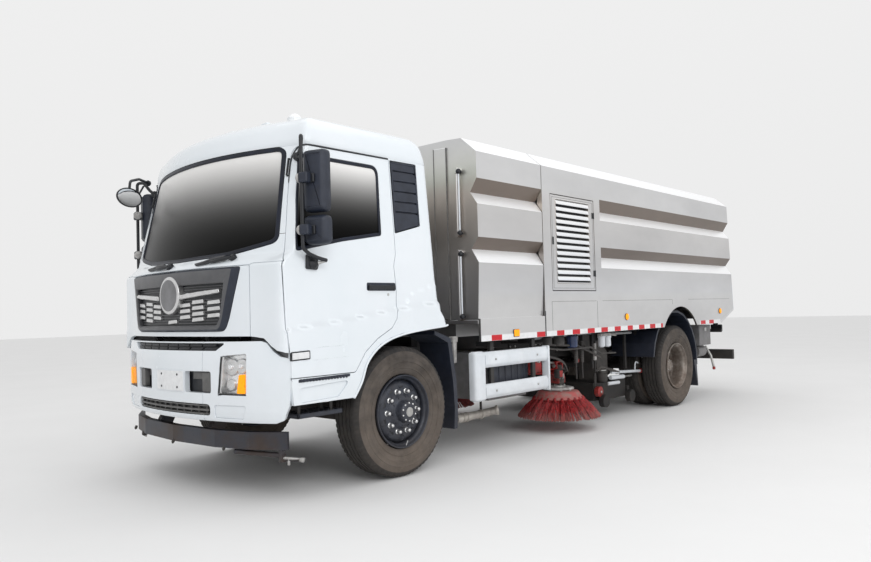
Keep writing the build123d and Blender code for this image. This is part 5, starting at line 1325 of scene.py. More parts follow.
def add_tyre(mesh, x0, yc, s):
    v, f, mi = tyre_mesh(x0, yc, s)
    o = len(mesh.v)
    mesh.v += v
    mesh.f += [tuple(i + o for i in q) for q in f]
    mesh.m += mi


def ring_of(fn, k, r, yc, zc=525.0, ph=0.0):
    out = []
    for i in range(k):
        t = 2 * pi * (i + ph) / k
        out.append(fn(yc + r * sin(t), zc + r * cos(t)))
    return out


BARREL = [(128, 297), (133, 294), (133.5, 287), (127, 281), (112, 279), (104, 271), (97, 264), (84, 259), (60, 256), (-60, 256), (-84, 259), (-104, 271), (-112, 279), (-127, 281), (-133, 287), (-133, 294), (-128, 297), (-114, 296), (-108, 290), (-60, 266), (60, 266), (108, 290), (114, 296)]
for s, side in ((1, "left"), (-1, "right")):
    t = Mesh()
    add_tyre(t, s * 1055, 0, s)
    make("tyre_front_" + side, t, ["tyre", "tread"], "wheel_front_" + side, rep=["tyre_front_" + side], sharp=28)
    t = Mesh()
    add_tyre(t, s * 1079, 5080, s)
    make("tyre_rear_outer_" + side, t, ["tyre", "tread"], "wheels_rear_" + side, rep=["tyres_rear_" + side], sharp=28)
    t = Mesh()
    add_tyre(t, s * 749, 5080, s)
    make("tyre_rear_inner_" + side, t, ["tyre", "tread"], "wheels_rear_" + side, sharp=28)

    def X(prof, x0):
        return [(x0 + s * a, r) for a, r in prof]

    r = Mesh()
    r.add(lathe(X(BARREL, s * 1055), "x", (0, 525), 72, closed=True), 0)
    disc_f = [(58, 254), (70, 251), (84, 240), (96, 222), (101, 206), (103, 190), (104, 150), (108, 140), (118, 132), (126, 124), (130, 116), (134, 112), (137, 100), (137, 92), (146, 88), (176, 84), (188, 78), (194, 66), (196, 48), (197, 0.1),
              (150, 0.1), (150, 46), (-20, 50), (-20, 92), (60, 100), (86, 140), (84, 215), (50, 250)]
    r.add(lathe(X(disc_f, s * 1055), "x", (0, 525), 60, closed=True), 0)
    for q in ring_of(lambda y, z: (y, z), 10, 167, 0, ph=0.5):
        r.add(turned_on((s * (1055 + 100), q[0], q[1]), (s, 0, 0), [(0, 22), (4, 23), (8, 19), (10, 16.5), (34, 16), (42, 13), (46, 6)], 6 * 2), 1)
    for q in ring_of(lambda y, z: (y, z), 10, 212, 0):
        yy, zz = q
        d = np.array([1.0 * s, 0.42 * yy / 212, 0.42 * (zz - 525) / 212])
        p = np.array((s * (1055 + 97.0), yy, zz))
        r.add(turned_on(p, d, [(-2, 28), (2.5, 28), (3.5, 25), (1.5, 22.5), (-2, 22)], 18), 0)
        r.add(turned_on(p - d * 1.5, d, [(0, 23), (2.8, 22.6)], 18), 2)
    for q in ring_of(lambda y, z: (y, z), 10, 72, 0):
        r.add(turned_on((s * (1055 + 186), *q), (s, 0, 0), [(-2, 8), (7, 8), (9, 6)], 6), 1)
    for q in ring_of(lambda y, z: (y, z), 10, 121, 0, ph=0.3):
        r.add(turned_on((s * (1055 + 126), *q), (s, 0, 0), [(-2, 7), (7, 7), (9, 5)], 6), 0)
    r.add(turned_on((s * (1055 + 196), 0, 525), (s, 0, 0), [(-4, 40), (-1, 42), (1, 36), (1.2, 4)], 24), 3)
    r.add(tube([(s * 1180, 20, 525 - 276), (s * 1184, 22, 525 - 262), (s * 1196, 24, 525 - 236)], 5, 8), 1)
    make("rim_front_" + side, r, ["rim_dark", "satin_chrome", "black", "steel_plain"], "wheel_front_" + side, rep=["rim_front_" + side], sharp=40)

    r = Mesh()
    r.add(lathe(X(BARREL, s * 1079), "x", (5080, 525), 72, closed=True), 0)
    r.add(lathe(X(BARREL, s * 749), "x", (5080, 525), 60, closed=True), 0)
    disc_r = [(-52, 257), (-56, 252), (-92, 246), (-112, 236), (-134, 214), (-146, 196), (-150, 180), (-150, 112), (-142, 104), (-100, 100), (-60, 96), (0, 86), (12, 82), (20, 74), (28, 62), (30, 30), (30, 0.1), (-160, 0.1), (-160, 110), (-160, 186), (-156, 204), (-142, 226), (-118, 246), (-96, 256)]
    r.add(lathe(X(disc_r, s * 1079), "x", (5080, 525), 60, closed=True), 0)
    disc_i = [(52, 257), (-10, 252), (-70, 246), (-100, 236), (-126, 214), (-140, 190), (-148, 120), (-160, 120), (-160, 190), (-140, 222), (-110, 246), (-60, 256)]
    r.add(lathe([(s * 749 - s * a, q) for a, q in disc_i], "x", (5080, 525), 48, closed=True), 0)
    r.add(lathe(X([(-160, 108), (-300, 100), (-334, 112), (-340, 200), (-336, 206), (-470, 206), (-476, 200), (-476, 60), (-160, 60)], s * 1079), "x", (5080, 525), 40, closed=True), 2)
    for q in ring_of(lambda y, z: (y, z), 10, 150, 5080, ph=0.5):
        r.add(turned_on((s * (1079 - 151), *q), (s, 0, 0), [(0, 21), (4, 22), (8, 17), (34, 16), (40, 12), (44, 6)], 12), 0)
    for q in ring_of(lambda y, z: (y, z), 10, 211, 5080):
        yy, zz = q
        d = np.array([0.72 * s, -0.69 * (yy - 5080) / 211, -0.69 * (zz - 525) / 211])
        p = np.array((s * (1079 - 136.0), yy, zz))
        r.add(turned_on(p, d, [(-2, 24), (2.5, 24), (3.5, 21), (1.5, 18.5), (-2, 18)], 18), 0)
        r.add(turned_on(p - d * 1.5, d, [(0, 19), (2.8, 18.6)], 18), 2)
    for q in ring_of(lambda y, z: (y, z), 10, 66, 5080):
        r.add(turned_on((s * (1079 + 18), *q), (s, 0, 0), [(-2, 8), (8, 8), (10, 6)], 6), 1)
    make("rims_rear_" + side, r, ["rim_light", "steel_plain", "black"], "wheels_rear_" + side, rep=["rims_rear_" + side], sharp=40)

    # ------------------------------------------------------------ side broom
    g = (lambda q: q) if s > 0 else flip
    b = Mesh()
    cone = [(445, 0.1), (445, 60), (440, 120), (424, 126), (418, 190), (412, 218), (404, 226), (352, 262), (338, 268), (330, 262), (330, 250), (398, 214), (404, 150), (404, 0.1)]
    b.add(g(lathe(cone, "z", (900, 2700), 56, closed=True)), 0)
    b.add(g(lathe([(447, 96), (454, 100), (456, 150), (452, 168), (440, 172), (430, 168), (430, 96)], "z", (900, 2700), 48, closed=True)), 1)
    b.add(g(lathe([(444, 40), (474, 44), (478, 78), (474, 84), (444, 84)], "z", (900, 2700), 32, closed=True)), 2)
    for k in range(8):
        t = 2 * pi * k / 8
        b.add(g(turned_on((900 + 150 * cos(t), 2700 + 150 * sin(t), 420), (0, 0, 1), [(0, 13), (14, 13), (18, 8)], 6)), 2)
    for k in range(6):
        t = 2 * pi * (k + 0.5) / 6
        b.add(g(rod((900 + 66 * cos(t), 2700 + 66 * sin(t), 440), (900 + 66 * cos(t), 2700 + 66 * sin(t), 486), 7, 6, 2)), 2)
    make("broom_plate_" + side, b, ["cone", "ring_grey", "steel_plain"], "broom_" + side, rep=["broom_" + side], sharp=50)
    b = Mesh()
    rr = np.random.default_rng(11 + (s > 0))
    for row, (r0, z0, r1, z1, cnt, ph) in enumerate(((252, 342, 449, 133, 22, 0.0), (232, 338, 418, 133, 22, 0.5))):
        for k in range(cnt):
            t0 = 2 * pi * (k + ph) / cnt
            for i in range(17):
                dt = rr.normal(0, 0.030)
                w = rr.normal(0, 0.075)
                a0, a1 = t0 + dt, t0 + dt + w
                e = rr.normal(0, 1.0)
                rb = min(453.0, r1 + e * 7 - abs(w) * 20)
                zb = max(131.0, z1 + abs(rr.normal(0, 7)))
                p0 = np.array((900 + (r0 + rr.normal(0, 5)) * cos(a0), 2700 + (r0 + rr.normal(0, 5)) * sin(a0), z0 + rr.normal(0, 5)))
                p1 = np.array((900 + rb * cos(a1), 2700 + rb * sin(a1), zb))
                mid = (p0 + p1) / 2 + np.array((6 * cos(a0), 6 * sin(a0), 12 + rr.normal(0, 3)))
                b.add(g(tube([p0, mid, p1], [5.0, 5.2, 3.6], 4)), 0)
            c0 = np.array((900 + r0 * cos(t0), 2700 + r0 * sin(t0), z0 + 8))
            c1 = np.array((900 + (r0 + 26) * cos(t0), 2700 + (r0 + 26) * sin(t0), z0 - 24))
            b.add(g(tube([c0, c1], [17, 21], 8)), 0)
    make("broom_bristles_" + side, b, ["bristle"], "broom_" + side, sharp=70)

    # arm, yoke and motor over the broom
    a = Mesh()
    a.add(g(turned_on((500, 2150, 560), (0, 0, 1), [(0, 46), (6, 50), (190, 50), (200, 44), (200, 26)], 24)), 1)
    a.add(g(lathe([(596, 50), (596, 72), (602, 76), (618, 76), (624, 72), (624, 50)], "z", (500, 2150), 28, closed=True)), 2)
    for dz in (0, 44):
        pl = rounded([(474, 2168), (528, 2118), (940, 2640), (948, 2740), (862, 2752), (848, 2690)], 18, 3)
        a.add(g(prism(pl, "z", 604 + dz, 616 + dz, 3)), 0)
    a.add(g(tube([(520, 2175, 634), (700, 2410, 634), (870, 2640, 634)], 15, 12)), 0)
    a.add(g(turned_on((900, 2700, 488), (0, 0, 1), [(0, 52), (4, 66), (40, 68), (44, 74), (52, 74), (56, 64), (118, 62), (122, 70), (132, 70), (136, 56), (190, 54), (198, 44), (208, 40)], 28)), 1)
    for k in range(10):
        t = 2 * pi * k / 10
        a.add(g(rod((900 + 64 * cos(t), 2700 + 64 * sin(t), 530), (900 + 64 * cos(t), 2700 + 64 * sin(t), 626), 6, 6, 1)), 2)
    for y in (2640, 2752):
        a.add(g(prism(rounded([(842, 496), (958, 496), (958, 560), (936, 640), (936, 735), (864, 735), (864, 640), (842, 560)], 12, 3), "y", y - 8, y + 8, 3)), 0)
        a.add(g(turned_on((900, y + (8 if y > 2700 else -8), 690), (0, 1 if y > 2700 else -1, 0), [(0, 22), (8, 22), (12, 14)], 12)), 2)
    a.add(g(cbox(868, 932, 2640, 2760, 722, 738, 5)), 0)
    a.add(g(prism(rounded([(2225, 640), (2330, 640), (2360, 700), (2340, 790), (2250, 800), (2215, 740)], 18, 4), "x", 842, 856, 3)), 0)
    a.add(g(prism(rounded([(2225, 640), (2330, 640), (2360, 700), (2340, 790), (2250, 800), (2215, 740)], 18, 4), "x", 914, 928, 3)), 0)
    a.add(g(cbox(690, 928, 2262, 2316, 640, 654, 4)), 0)
    a.add(g(rod((820, 2286, 764), (950, 2286, 764), 17, 12, 3)), 2)
    a.add(g(rod((885, 2286, 764), (892, 2480, 742), 24, 16, 4)), 1)
    a.add(g(rod((892, 2470, 743), (898, 2636, 722), 12, 12, 2)), 2)
    a.add(g(cbox(940, 1010, 2560, 2640, 560, 660, 8)), 1)
    a.add(g(cbox(1004, 1014, 2572, 2628, 575, 645, 3)), 0)
    for dx, r, z in ((0, 8, 0), (22, 8, 6), (44, 7, -6)):
        a.add(g(tube(smooth_path([(950 - dx * 0.3, 2690 + dx, 600 + dx), (1010 + dx * 0.4, 2700, 640 + z), (1030, 2600, 742 + z), (980, 2440, 800 + z), (890, 2300 - dx, 820 + z), (760, 2220, 760 + z), (640, 2170, 700)], 6), r, 8)), 3)
    make("broom_arm_motor_and_links_" + side, a, ["red", "iron", "steel_plain", "hose"], "broom_arm_" + side, rep=["broom_arm_" + side], sharp=45)


# ------------------------------------------------------------------ body
def tape(mesh, x, y0, y1, z0=1043, z1=1096, first=60, red=160, gap=130, reds=None):
    s = 1 if x > 0 else -1
    q = prism([(y0, z0), (y1, z0), (y1, z1), (y0, z1)], "x", x, x + s * 1.2, 0.4)
    mesh.add(q, 0)
    if reds is None:
        reds, y = [], y0 + first
        while y + red < y1:
            reds.append((y, y + red))
            y += red + gap
    for a, b in reds:
        mesh.add(prism([(a, z0 + 1), (b, z0 + 1), (b, z1 - 1), (a, z1 - 1)], "x", x + s * 0.6, x + s * 2.4, 0.4), 1)


front, rear = Mesh(), Mesh()
for s in (1, -1):
    tape(front, s * 1250, 946, 1964, reds=[(1092, 1248), (1818, 1962)])
    front.add(prism([(1970, 1046), (1986, 1046), (1986, 1300), (1970, 1300)], "x", s * 1249, s * 1251.5, 0.4), 2)
    tape(rear, s * 1250, 1990, 4610, reds=[(2176, 2314), (2475, 2621), (2778, 2926), (3070, 3214), (3371, 3511), (3680, 3805), (3963, 4102), (4252, 4394), (4555, 4606)])
    tape(rear, s * 1250, 5760, 6480, first=30)
make("marking_tape_front", front, ["tape_w", "tape_r", "black"], "chassis")
make("marking_tape_rear", rear, ["tape_w", "tape_r"], "hopper")

# fine folds and sheet joints, drawn as thin dark seam_shadow strips: painted shade along the folds, dark joints at the
# sheet edges
ln, lnf = Mesh(), Mesh()


def fold(mesh, x, a, b, w=3.0, h=1.1):
    s = 1 if x > 0 else -1
    a, b = np.array(a, float), np.array(b, float)
    d = (b - a) / np.linalg.norm(b - a)
    n = np.array((-d[1], d[0])) * w / 2
    mesh.add(prism([tuple(a + n), tuple(a - n), tuple(b - n), tuple(b + n)], "x", x - s * 1, x + s * h, 0.3), 0)


for s in (1, -1):
    for a, b in (((2105, 1393), (2986, 1393)), ((3117, 1393), (4913, 1393)), ((5400, 1393), (6845, 1393)), ((3004, 1100), (3004, 1393)), ((2105, 1100), (2105, 1393)), ((4913, 1330), (4913, 1393))):
        fold(ln, s * 1250, a, b)
make("sheet_folds", ln, ["line"], "hopper")

# markers
mk, mkf = Mesh(), Mesh()
for s in (1, -1):
    for y, z in ((3665, 1200), (6480, 1216)):
        mk.add(turned_on((s * 1249, y, z), (s, 0, 0), [(0, 40), (6, 41), (9, 39)], 24), 1)
        mk.add(turned_on((s * 1249, y, z), (s, 0, 0), [(8, 38), (14, 35), (19, 22), (20, 3)], 24), 0)
    mkf.add(prism(rounded([(1428, 1064), (1520, 1064), (1520, 1136), (1428, 1136)], 10, 3), "x", s * 1248, s * 1259, 3), 1)
    mkf.add(prism(rounded([(1432, 1068), (1516, 1068), (1516, 1132), (1432, 1132)], 8, 3), "x", s * 1256, s * 1263, 3), 0)
make("side_markers", mk, ["amber", "black"], "hopper")
make("front_section_reflectors", mkf, ["amber", "black"], "chassis")

# louvre doors
for s, side in ((1, "left"), (-1, "right")):
    g = (lambda q: q) if s > 0 else flip
    d = Mesh()
    y0, y1, z0, z1 = 2132, 2978, 1510, 2497
    v0, v1, w0, w1 = 2228, 2873, 1592, 2451
    for a, b, c, e in ((y0, v0, z0, z1), (v1, y1, z0, z1), (v0, v1, z0, w0), (v0, v1, w1, z1)):
        d.add(g(prism([(a, c), (b, c), (b, e), (a, e)], "x", 1206, 1249, 0.01)), 0)
    o = [(y0 + 22, z0 + 22), (y1 - 22, z0 + 22), (y1 - 22, z1 - 22), (y0 + 22, z1 - 22)]
    for i in range(4):
        a, b = np.array(o[i], float), np.array(o[(i + 1) % 4], float)
        u = (b - a) / np.linalg.norm(b - a)
        n = np.array((-u[1], u[0])) * 1.5
        d.add(g(prism([tuple(a - n), tuple(b - n), tuple(b + n), tuple(a + n)], "x", 1247, 1250.2, 0.3)), 1)
    o = inset([(v0 - 8, w0 - 8), (v1 + 8, w0 - 8), (v1 + 8, w1 + 8), (v0 - 8, w1 + 8)], 0.01)
    for i in range(4):
        a, b = np.array(o[i], float), np.array(o[(i + 1) % 4], float)
        d.add(g(rod((1249, a[0], a[1]), (1249, b[0], b[1]), 4.5, 8, 1)), 0)
    p = (w1 - w0) / 13.0
    for k in range(13):
        z = w0 + k * p
        # a pressed louvre: hooded blade, open underneath
        pr = [(1210, z + p * 1.04), (1247, z + p * 0.90), (1256, z + p * 0.42), (1257, z + p * 0.30), (1253, z + p * 0.30), (1246, z + p * 0.56), (1207, z + p * 0.96)]
        pts = [[(x, yy, zz) for x, zz in pr] for yy in (v0, v1)]
        d.add(g(loft(pts, True)), 0)
    d.add(g(cbox(1203, 1209, v0 - 4, v1 + 4, w0 - 4, w1 + 4, 1)), 2)
    for z in (1660, 2300):
        d.add(g(rod((1254, 2979, z), (1254, 2979, z + 70), 5.5, 10, 1)), 2)
        d.add(g(prism([(2944, z + 4), (2978, z + 4), (2978, z + 66), (2944, z + 66)], "x", 1249, 1253, 1)), 2)
    d.add(g(prism(rounded([(2146, 1980), (2172, 1980), (2172, 2060), (2146, 2060)], 6, 2), "x", 1248, 1254, 2)), 2)
    make("louvre_door_" + side, d, ["steel", "line", "black"], "louvre_door_" + side, rep=["louvre_door_" + side], sharp=30)

# front face of the water tank section: columns, sight tubes
ff = Mesh()
for s in (1, -1):
    g = (lambda q: q) if s > 0 else flip
    ff.add(g(prism([(739, 1244), (897, 1244), (897, 2860), (739, 2868)], "y", 930, 942, 4)), 0)
    ff.add(g(prism([(893, 1244), (899, 1244), (899, 2860), (893, 2860)], "y", 925, 942, 1)), 3)
    ff.add(g(prism([(737, 1244), (743, 1244), (743, 2866), (737, 2866)], "y", 925, 942, 1)), 3)
    for za, zb in ((1262, 1858), (2030, 2620)):
        ff.add(g(rod((1066, 905, za + 16), (1066, 905, zb - 16), 7.5, 14, 1)), 1)
        for z in (za + 10, zb - 10):
            ff.add(g(ball((1066, 905, z), 26, 16)), 2)
            ff.add(g(rod((1066, 905, z), (1066, 945, z), 12, 10, 2)), 2)
    ff.add(g(prism([(-1225, 1200), (1225, 1200), (1225, 1238), (-1225, 1238)], "y", 936, 944, 2)), 0) if s > 0 else None
make("tank_front_details", ff, ["steel", "white_trim", "black", "line"], "chassis")

# seam flange between the fixed section and the tipping body, tail edge strips
sf = Mesh()
for s in (1, -1):
    g = (lambda q: q) if s > 0 else flip
    sf.add(g(prism([(7012, 1238), (7021, 1238), (6990, 1600), (6981, 1600)], "x", 1228, 1252, 2)), 1)
    sf.add(g(prism([(6500, 1045), (6530, 1045), (7024, 1225), (7020, 1245), (6510, 1064)], "x", 1240, 1251, 2)), 0)
make("tail_edge_strips", sf, ["steel", "white_trim"], "hopper")

# ------------------------------------------------------------------ side guards
gd = Mesh()
for s in (1, -1):
    g = (lambda q: q) if s > 0 else flip
    gd.add(g(prism(rounded([(1136, 880), (1225, 880), (1225, 1036), (1136, 1036)], [20, 66, 30, 20], 8), "z", 508, 942, 10)), 0)
    gd.add(g(prism(rounded([(1150, 894), (1211, 894), (1211, 1022), (1150, 1022)], [16, 50, 24, 16], 8), "z", 500, 950, 6)), 0)
    for z0, z1 in ((514, 646), (797, 943)):
        prof = [(1182, z0), (1200, z0), (1204, z0 + 2), (1222, z0 + 30), (1223, z0 + 34), (1223, z1 - 36), (1221, z1 - 32), (1205, z1 - 2), (1201, z1), (1182, z1), (1182, z1 - 16), (1196, z1 - 18), (1211, z1 - 40), (1211, z0 + 38), (1196, z0 + 18), (1182, z0 + 16)]
        ring = [[(x, y, z) for x, z in prof] for y in (1030, 2046)]
        gd.add(g(loft(ring, True)), 0)
    gd.add(g(prism(rounded([(1150, 500), (1232, 500), (1232, 950), (1150, 950)], 12, 3), "y", 2034, 2060, 4)), 0)
    for y in (1180, 1850):
        gd.add(g(prism(rounded([(y - 26, 520), (y + 26, 520), (y + 26, 1030), (y - 26, 1030)], 6, 2), "x", 1150, 1182, 4)), 2)
        gd.add(g(cbox(1000, 1160, y - 20, y + 20, 985, 1030, 4)), 2)
        for z in (580, 870):
            gd.add(g(turned_on((1224, y, z), (1, 0, 0), [(0, 11), (5, 11), (8, 8)], 6)), 3)
make("side_guards", gd, ["white_trim", "ring_grey", "frame", "steel_plain"], "chassis", rep=["side_guards"], sharp=35)
# dark panels behind the guards
dp = Mesh()
for s in (1, -1):
    g = (lambda q: q) if s > 0 else flip
    dp.add(g(cbox(1084, 1112, 1225, 1845, 500, 925, 8)), 0)
    for k in range(6):
        dp.add(g(cbox(1108, 1120, 1260 + k * 100, 1300 + k * 100, 520, 900, 5)), 0)
make("tank_covers", dp, ["slate"], "chassis")

# ------------------------------------------------------------------ sweeping gear behind the broom, fixed to the frame
ug = Mesh()
for s in (1, -1):
    g = (lambda q: q) if s > 0 else flip
    # twin water filters with their bracket
    for y in (3346, 3480):
        ug.add(g(turned_on((1090, y, 866), (0, 0, 1), [(-10, 20), (0, 36), (12, 40), (96, 40), (104, 46), (120, 46), (126, 30), (150, 24)], 24)), 0)
    ug.add(g(cbox(1060, 1120, 3296, 3530, 984, 1020, 6)), 1)
    ug.add(g(cbox(1020, 1034, 3240, 3540, 930, 1075, 4)), 2)
    ug.add(g(rod((1090, 3530, 1000), (1090, 3680, 985), 12, 10, 2)), 1)
    # dark blue oil cup, pump blocks beside it
    ug.add(g(turned_on((1040, 2793, 885), (0, 0, 1), [(0, 46), (10, 58), (96, 62), (104, 66), (124, 66), (130, 44), (180, 38)], 24)), 3)
    ug.add(g(cbox(1000, 1080, 2740, 2846, 1020, 1072, 6)), 2)
    ug.add(g(turned_on((1040, 2300, 930), (0, 0, 1), [(0, 40), (8, 52), (90, 54), (96, 40), (130, 36)], 20)), 7)
    ug.add(g(turned_on((1040, 2520, 915), (0, 0, 1), [(0, 30), (8, 62), (60, 66), (110, 60), (150, 40)], 20)), 7)
    # rubber bellows and lift cylinders
    for y, r in ((2960, 26), (3090, 22)):
        prof = []
        for k in range(13):
            prof += [(k * 20, r - 5), (k * 20 + 8, r), (k * 20 + 12, r)]
        ug.add(g(turned_on((980, y, 700), (0, 0, 1), prof, 18)), 7)
        ug.add(g(rod((980, y, 520), (980, y, 706), 10, 12, 2)), 2)
        ug.add(g(cbox(950, 1010, y - 26, y + 26, 945, 1072, 5)), 2)
    ug.add(g(rod((950, 3426, 700), (950, 3426, 900), 19, 14, 3)), 1)
    ug.add(g(rod((950, 3426, 560), (950, 3426, 1060), 9, 10, 1)), 2)
    ug.add(g(rod((950, 3060, 700), (950, 3060, 740), 9, 12, 2)), 4)
    # posts and cross pieces of the suction head's hanger
    for y in (3440, 4240, 4546):
        ug.add(g(cbox(884, 916, y - 18, y + 18, 540 if y > 4000 else 600, 1072, 4)), 2)
    ug.add(g(rod((930, 3830, 524), (930, 4600, 484), 18, 14, 3)), 0)
    ug.add(g(turned_on((930, 4600, 484), (0, 1, -0.05), [(-30, 22), (-20, 30), (10, 30), (18, 18)], 14)), 4)
    ug.add(g(rod((950, 4612, 730), (950, 4612, 950), 20, 12, 3)), 0)
    ug.add(g(rod((950, 4612, 500), (950, 4612, 1060), 9, 10, 1)), 5)
    ug.add(g(tube(smooth_path([(930, 4440, 500), (930, 4445, 575), (930, 4475, 606), (930, 4530, 590)], 5), 9, 8)), 0)
    ug.add(g(turned_on((905, 3640, 430), (0, 0, 1), [(0, 62), (8, 68), (90, 68), (96, 56), (130, 54), (136, 40)], 22)), 2)
    ug.add(g(turned_on((905, 3640, 560), (0, 0, 1), [(0, 60), (10, 60), (14, 50)], 22)), 5)
    ug.add(g(rod((935, 3797, 462), (935, 4121, 450), 27, 14, 4)), 0)
    ug.add(g(rod((940, 3720, 396), (940, 3990, 390), 22, 14, 4)), 0)
    ug.add(g(rod((935, 4100, 450), (935, 4330, 446), 11, 12, 2)), 5)
    for k in range(4):
        ug.add(g(tube(smooth_path([(925, 3500 + 60 * k, 560), (960, 3560 + 70 * k, 610 - 14 * k), (950, 3760 + 60 * k, 560 - 10 * k), (930, 3960 + 40 * k, 500)], 5), 9, 7)), 7)
    # guide roller low on the outside
    ug.add(g(turned_on((900, 3520, 320), (1, 0, 0), [(0, 54), (6, 62), (56, 62), (62, 54)], 24)), 4)
    ug.add(g(prism(rounded([(3490, 300), (3550, 300), (3540, 540), (3500, 540)], 14, 3), "x", 880, 896, 3)), 2)
    ug.add(g(rod((880, 3520, 320), (972, 3520, 320), 16, 12, 3)), 5)
    # bracket between the mudguard and the side guard
    ug.add(g(prism(rounded([(838, 850), (872, 850), (880, 1088), (830, 1088)], 8, 2), "x", 990, 1012, 3)), 1)
    ug.add(g(cbox(960, 1016, 820, 892, 1040, 1092, 5)), 1)
    # pipes bent along the frame
    ug.add(g(tube(bent([(540, 2080, 1010), (980, 2110, 1010), (1000, 2300, 1020), (1000, 3200, 1030), (960, 3560, 1000), (960, 4300, 990)], 70, 6), 16, 10)), 6)
    ug.add(g(tube(bent([(560, 2140, 968), (1010, 2180, 968), (1035, 2440, 930), (1035, 2900, 900), (980, 3300, 800), (960, 3540, 720)], 80, 6), 13, 10)), 7)
    ug.add(g(tube(bent([(960, 2150, 930), (1040, 2250, 905), (1050, 2600, 870), (1060, 3150, 870), (990, 3500, 780), (960, 3900, 760)], 80, 6), 11, 10)), 7)
    # galvanised outlet elbow near the mudguard
    ug.add(g(tube(bent([(930, 930, 322), (930, 1250, 326), (930, 1400, 330), (1010, 1452, 352)], 60, 6), 38, 18)), 8)
    for yy in (1020, 1075, 1290):
        ug.add(g(turned_on((930, yy, 324), (0, 1, 0.01), [(-12, 38), (-8, 46), (8, 46), (12, 38)], 22)), 8)
    ug.add(g(turned_on((1004, 1448, 350), (0.8, 0.55, 0.24), [(-8, 38), (-4, 48), (14, 49), (18, 44), (6, 34), (4, 10)], 22)), 8)
    ug.add(g(rod((930, 1300, 330), (930, 1300, 620), 12, 10, 3)), 2)
    # red-tipped pipe beside the rear box
    ug.add(g(tube(bent([(980, 6560, 700), (1060, 6560, 560), (1100, 6560, 385)], 60, 6), 17, 12)), 5)
    ug.add(g(turned_on((1100, 6560, 392), (0, 0, -1), [(-6, 19), (0, 21), (34, 21), (38, 14)], 16)), 4)
make("sweeping_gear", ug, ["white_trim", "ring_grey", "frame", "bluecup", "red", "steel_plain", "hose_grey", "hose", "beige_pipe"], "chassis", sharp=38)

# box lids, straps, bolts and gussets on the frame
fr = Mesh()
for s in (1, -1):
    g = (lambda q: q) if s > 0 else flip
    for y in (-900, -500, 700, 1100, 1500, 2100, 2500, 3000, 3450, 4050, 4500, 5600, 6200, 6700):
        fr.add(g(cbox(428, 440, y - 70, y + 70, 780, 940, 4)), 0)
        for dy, z in ((-45, 812), (45, 812), (-45, 905), (45, 905)):
            fr.add(g(turned_on((438, y + dy, z), (1, 0, 0), [(0, 13), (8, 13), (11, 9)], 6)), 1)
    fr.add(g(prism(rounded([(6082, 742), (6464, 742), (6464, 1006), (6082, 1006)], 14, 3), "x", 1096, 1106, 4)), 2)
    fr.add(g(cbox(1104, 1116, 6240, 6300, 930, 985, 4)), 1)
    for y in (1330, 1740):
        fr.add(g(cbox(512, 1088, y - 22, y + 22, 916, 930, 3)), 1)
make("frame_gussets_and_straps", fr, ["frame", "steel_plain", "grey_box"], "chassis")

# spray bar nozzles and brackets
sp = Mesh()
for x in (-980, -620, 0, 620):
    y = -1420 + 175 * (x / 1000) ** 2 + 52
    sp.add(turned_on((x, y, 379), (0, -0.35, -1), [(-10, 10), (0, 12), (14, 12), (20, 8), (26, 6)], 10), 1)
for s in (1, -1):
    g = (lambda q: q) if s > 0 else flip
    sp.add(g(rod((1040, -1100, 318), (1150, -1004, 302), 13, 10, 3)), 0)
    sp.add(g(turned_on((1146, -1008, 302), (0.75, 0.65, -0.25), [(-8, 17), (0, 21), (22, 21), (28, 12)], 12)), 0)
    sp.add(g(rod((1080, -1065, 310), (1080, -1065, 262), 10, 8, 2)), 0)
make("spray_nozzles", sp, ["steel_plain", "frame"], "chassis")


# ------------------------------------------------------------------ surfaces of the parts that stay as they are
KEEP = {"frame_rails": "frame", "front_axle": "iron", "rear_axle": "iron", "engines": "iron", "driveline": "frame", "spray_bar": "bar_dark", "mudguards": "slate", "tanks": "grey_box", "water_tank": "steel", "suction_head": "mouth",
        "suction_ducts": "hose", "rear_beam": "frame", "hopper_shell": "steel", "rear_door": "steel", "tip_barrels": "frame", "tip_rods": "chrome", "knuckle_left": "iron", "knuckle_right": "iron",
        "broom_arm_left": "red", "broom_arm_right": "red"}
for name, mat in KEEP.items():
    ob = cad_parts[name]
    for i in range(len(ob.material_slots)):
        ob.material_slots[i].material = M[mat]
    if not ob.material_slots:
        ob.data.materials.append(M[mat])


# ------------------------------------------------------------------ floor, light, camera
def area_light(name, loc, aim, size, power, colour=(1, 1, 1), size_y=None):
    d = bpy.data.lights.new(name, "AREA")
    d.energy, d.size, d.color = power, size, colour
    if size_y:
        d.shape, d.size_y = "RECTANGLE", size_y
    o = bpy.data.objects.new(name, d)
    bpy.context.scene.collection.objects.link(o)
    o.location = loc
    o.rotation_euler = (Vector(aim) - Vector(loc)).to_track_quat("-Z", "Y").to_euler()
    return o


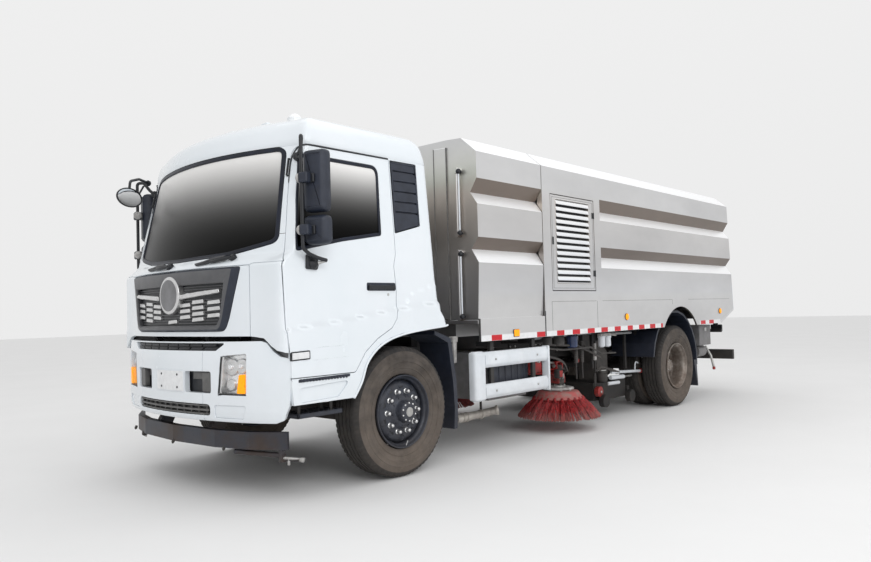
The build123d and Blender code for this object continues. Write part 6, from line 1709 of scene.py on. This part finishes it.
def finish_scene():
    z0 = CAD_BOX[0][2]
    me = bpy.data.meshes.new("studio_floor")
    me.from_pydata([(-60, -60, z0 - 0.004), (60, -60, z0 - 0.004), (60, 60, z0 - 0.004), (-60, 60, z0 - 0.004)], [], [(0, 1, 2, 3)])
    me.materials.append(M["floor"])
    fl = bpy.data.objects.new("studio_floor", me)
    bpy.context.scene.collection.objects.link(fl)
    w = bpy.data.worlds.new("studio")
    bpy.context.scene.world = w
    w.use_nodes = True
    N, L = w.node_tree.nodes, w.node_tree.links
    bg = N["Background"]
    tc = N.new("ShaderNodeTexCoord")
    sp = N.new("ShaderNodeSeparateXYZ")
    L.new(tc.outputs["Generated"], sp.inputs["Vector"])
    rp = N.new("ShaderNodeValToRGB")
    el = rp.color_ramp.elements
    el[0].position, el[0].color = 0.0, (0.95, 0.95, 0.95, 1)
    el[1].position, el[1].color = 0.62, (1.0, 1.0, 1.0, 1)
    L.new(sp.outputs["Z"], rp.inputs["Fac"])
    L.new(rp.outputs["Color"], bg.inputs["Color"])
    bg.inputs["Strength"].default_value = 0.88
    bpy.context.scene.view_settings.view_transform = "Standard"
    area_light("key", (10, -9, 7.5), (0, -1.0, 1.3), 5, 310)
    area_light("top", (1, 0, 10), (0, 0, 0), 7, 140, size_y=13)
    area_light("side", (12, -1, 6), (0, 1.5, 1.6), 5, 190)
    cam_d = bpy.data.cameras.new("camera")
    cam = bpy.data.objects.new("camera", cam_d)
    bpy.context.scene.collection.objects.link(cam)
    yaw, pit, rol = math.radians(42.466), math.radians(1.67), math.radians(-1.596)
    fwd = Vector((-sin(yaw) * cos(pit), cos(yaw) * cos(pit), sin(pit)))
    right = Vector((cos(yaw), sin(yaw), 0))
    up = right.cross(fwd)
    r2, u2 = right * cos(rol) + up * sin(rol), -right * sin(rol) + up * cos(rol)
    mat = Matrix((r2, u2, -fwd)).transposed().to_4x4()
    mat.translation = Vector((5.424, -7.079, 1.331))
    cam.matrix_world = mat
    cam_d.sensor_fit = "HORIZONTAL"
    cam_d.sensor_width = 36.0
    cam_d.lens = 734.33 / 871 * 36.0
    cam_d.shift_x = (871 / 2 - 434.58) / 871
    cam_d.shift_y = (289.52 - 562 / 2) / 871
    cam_d.clip_end = 300
    bpy.context.scene.camera = cam


finish_scene()
print("TRIANGLES", sum(n for _, n in PIECES), sorted(PIECES, key=lambda p: -p[1])[:8])
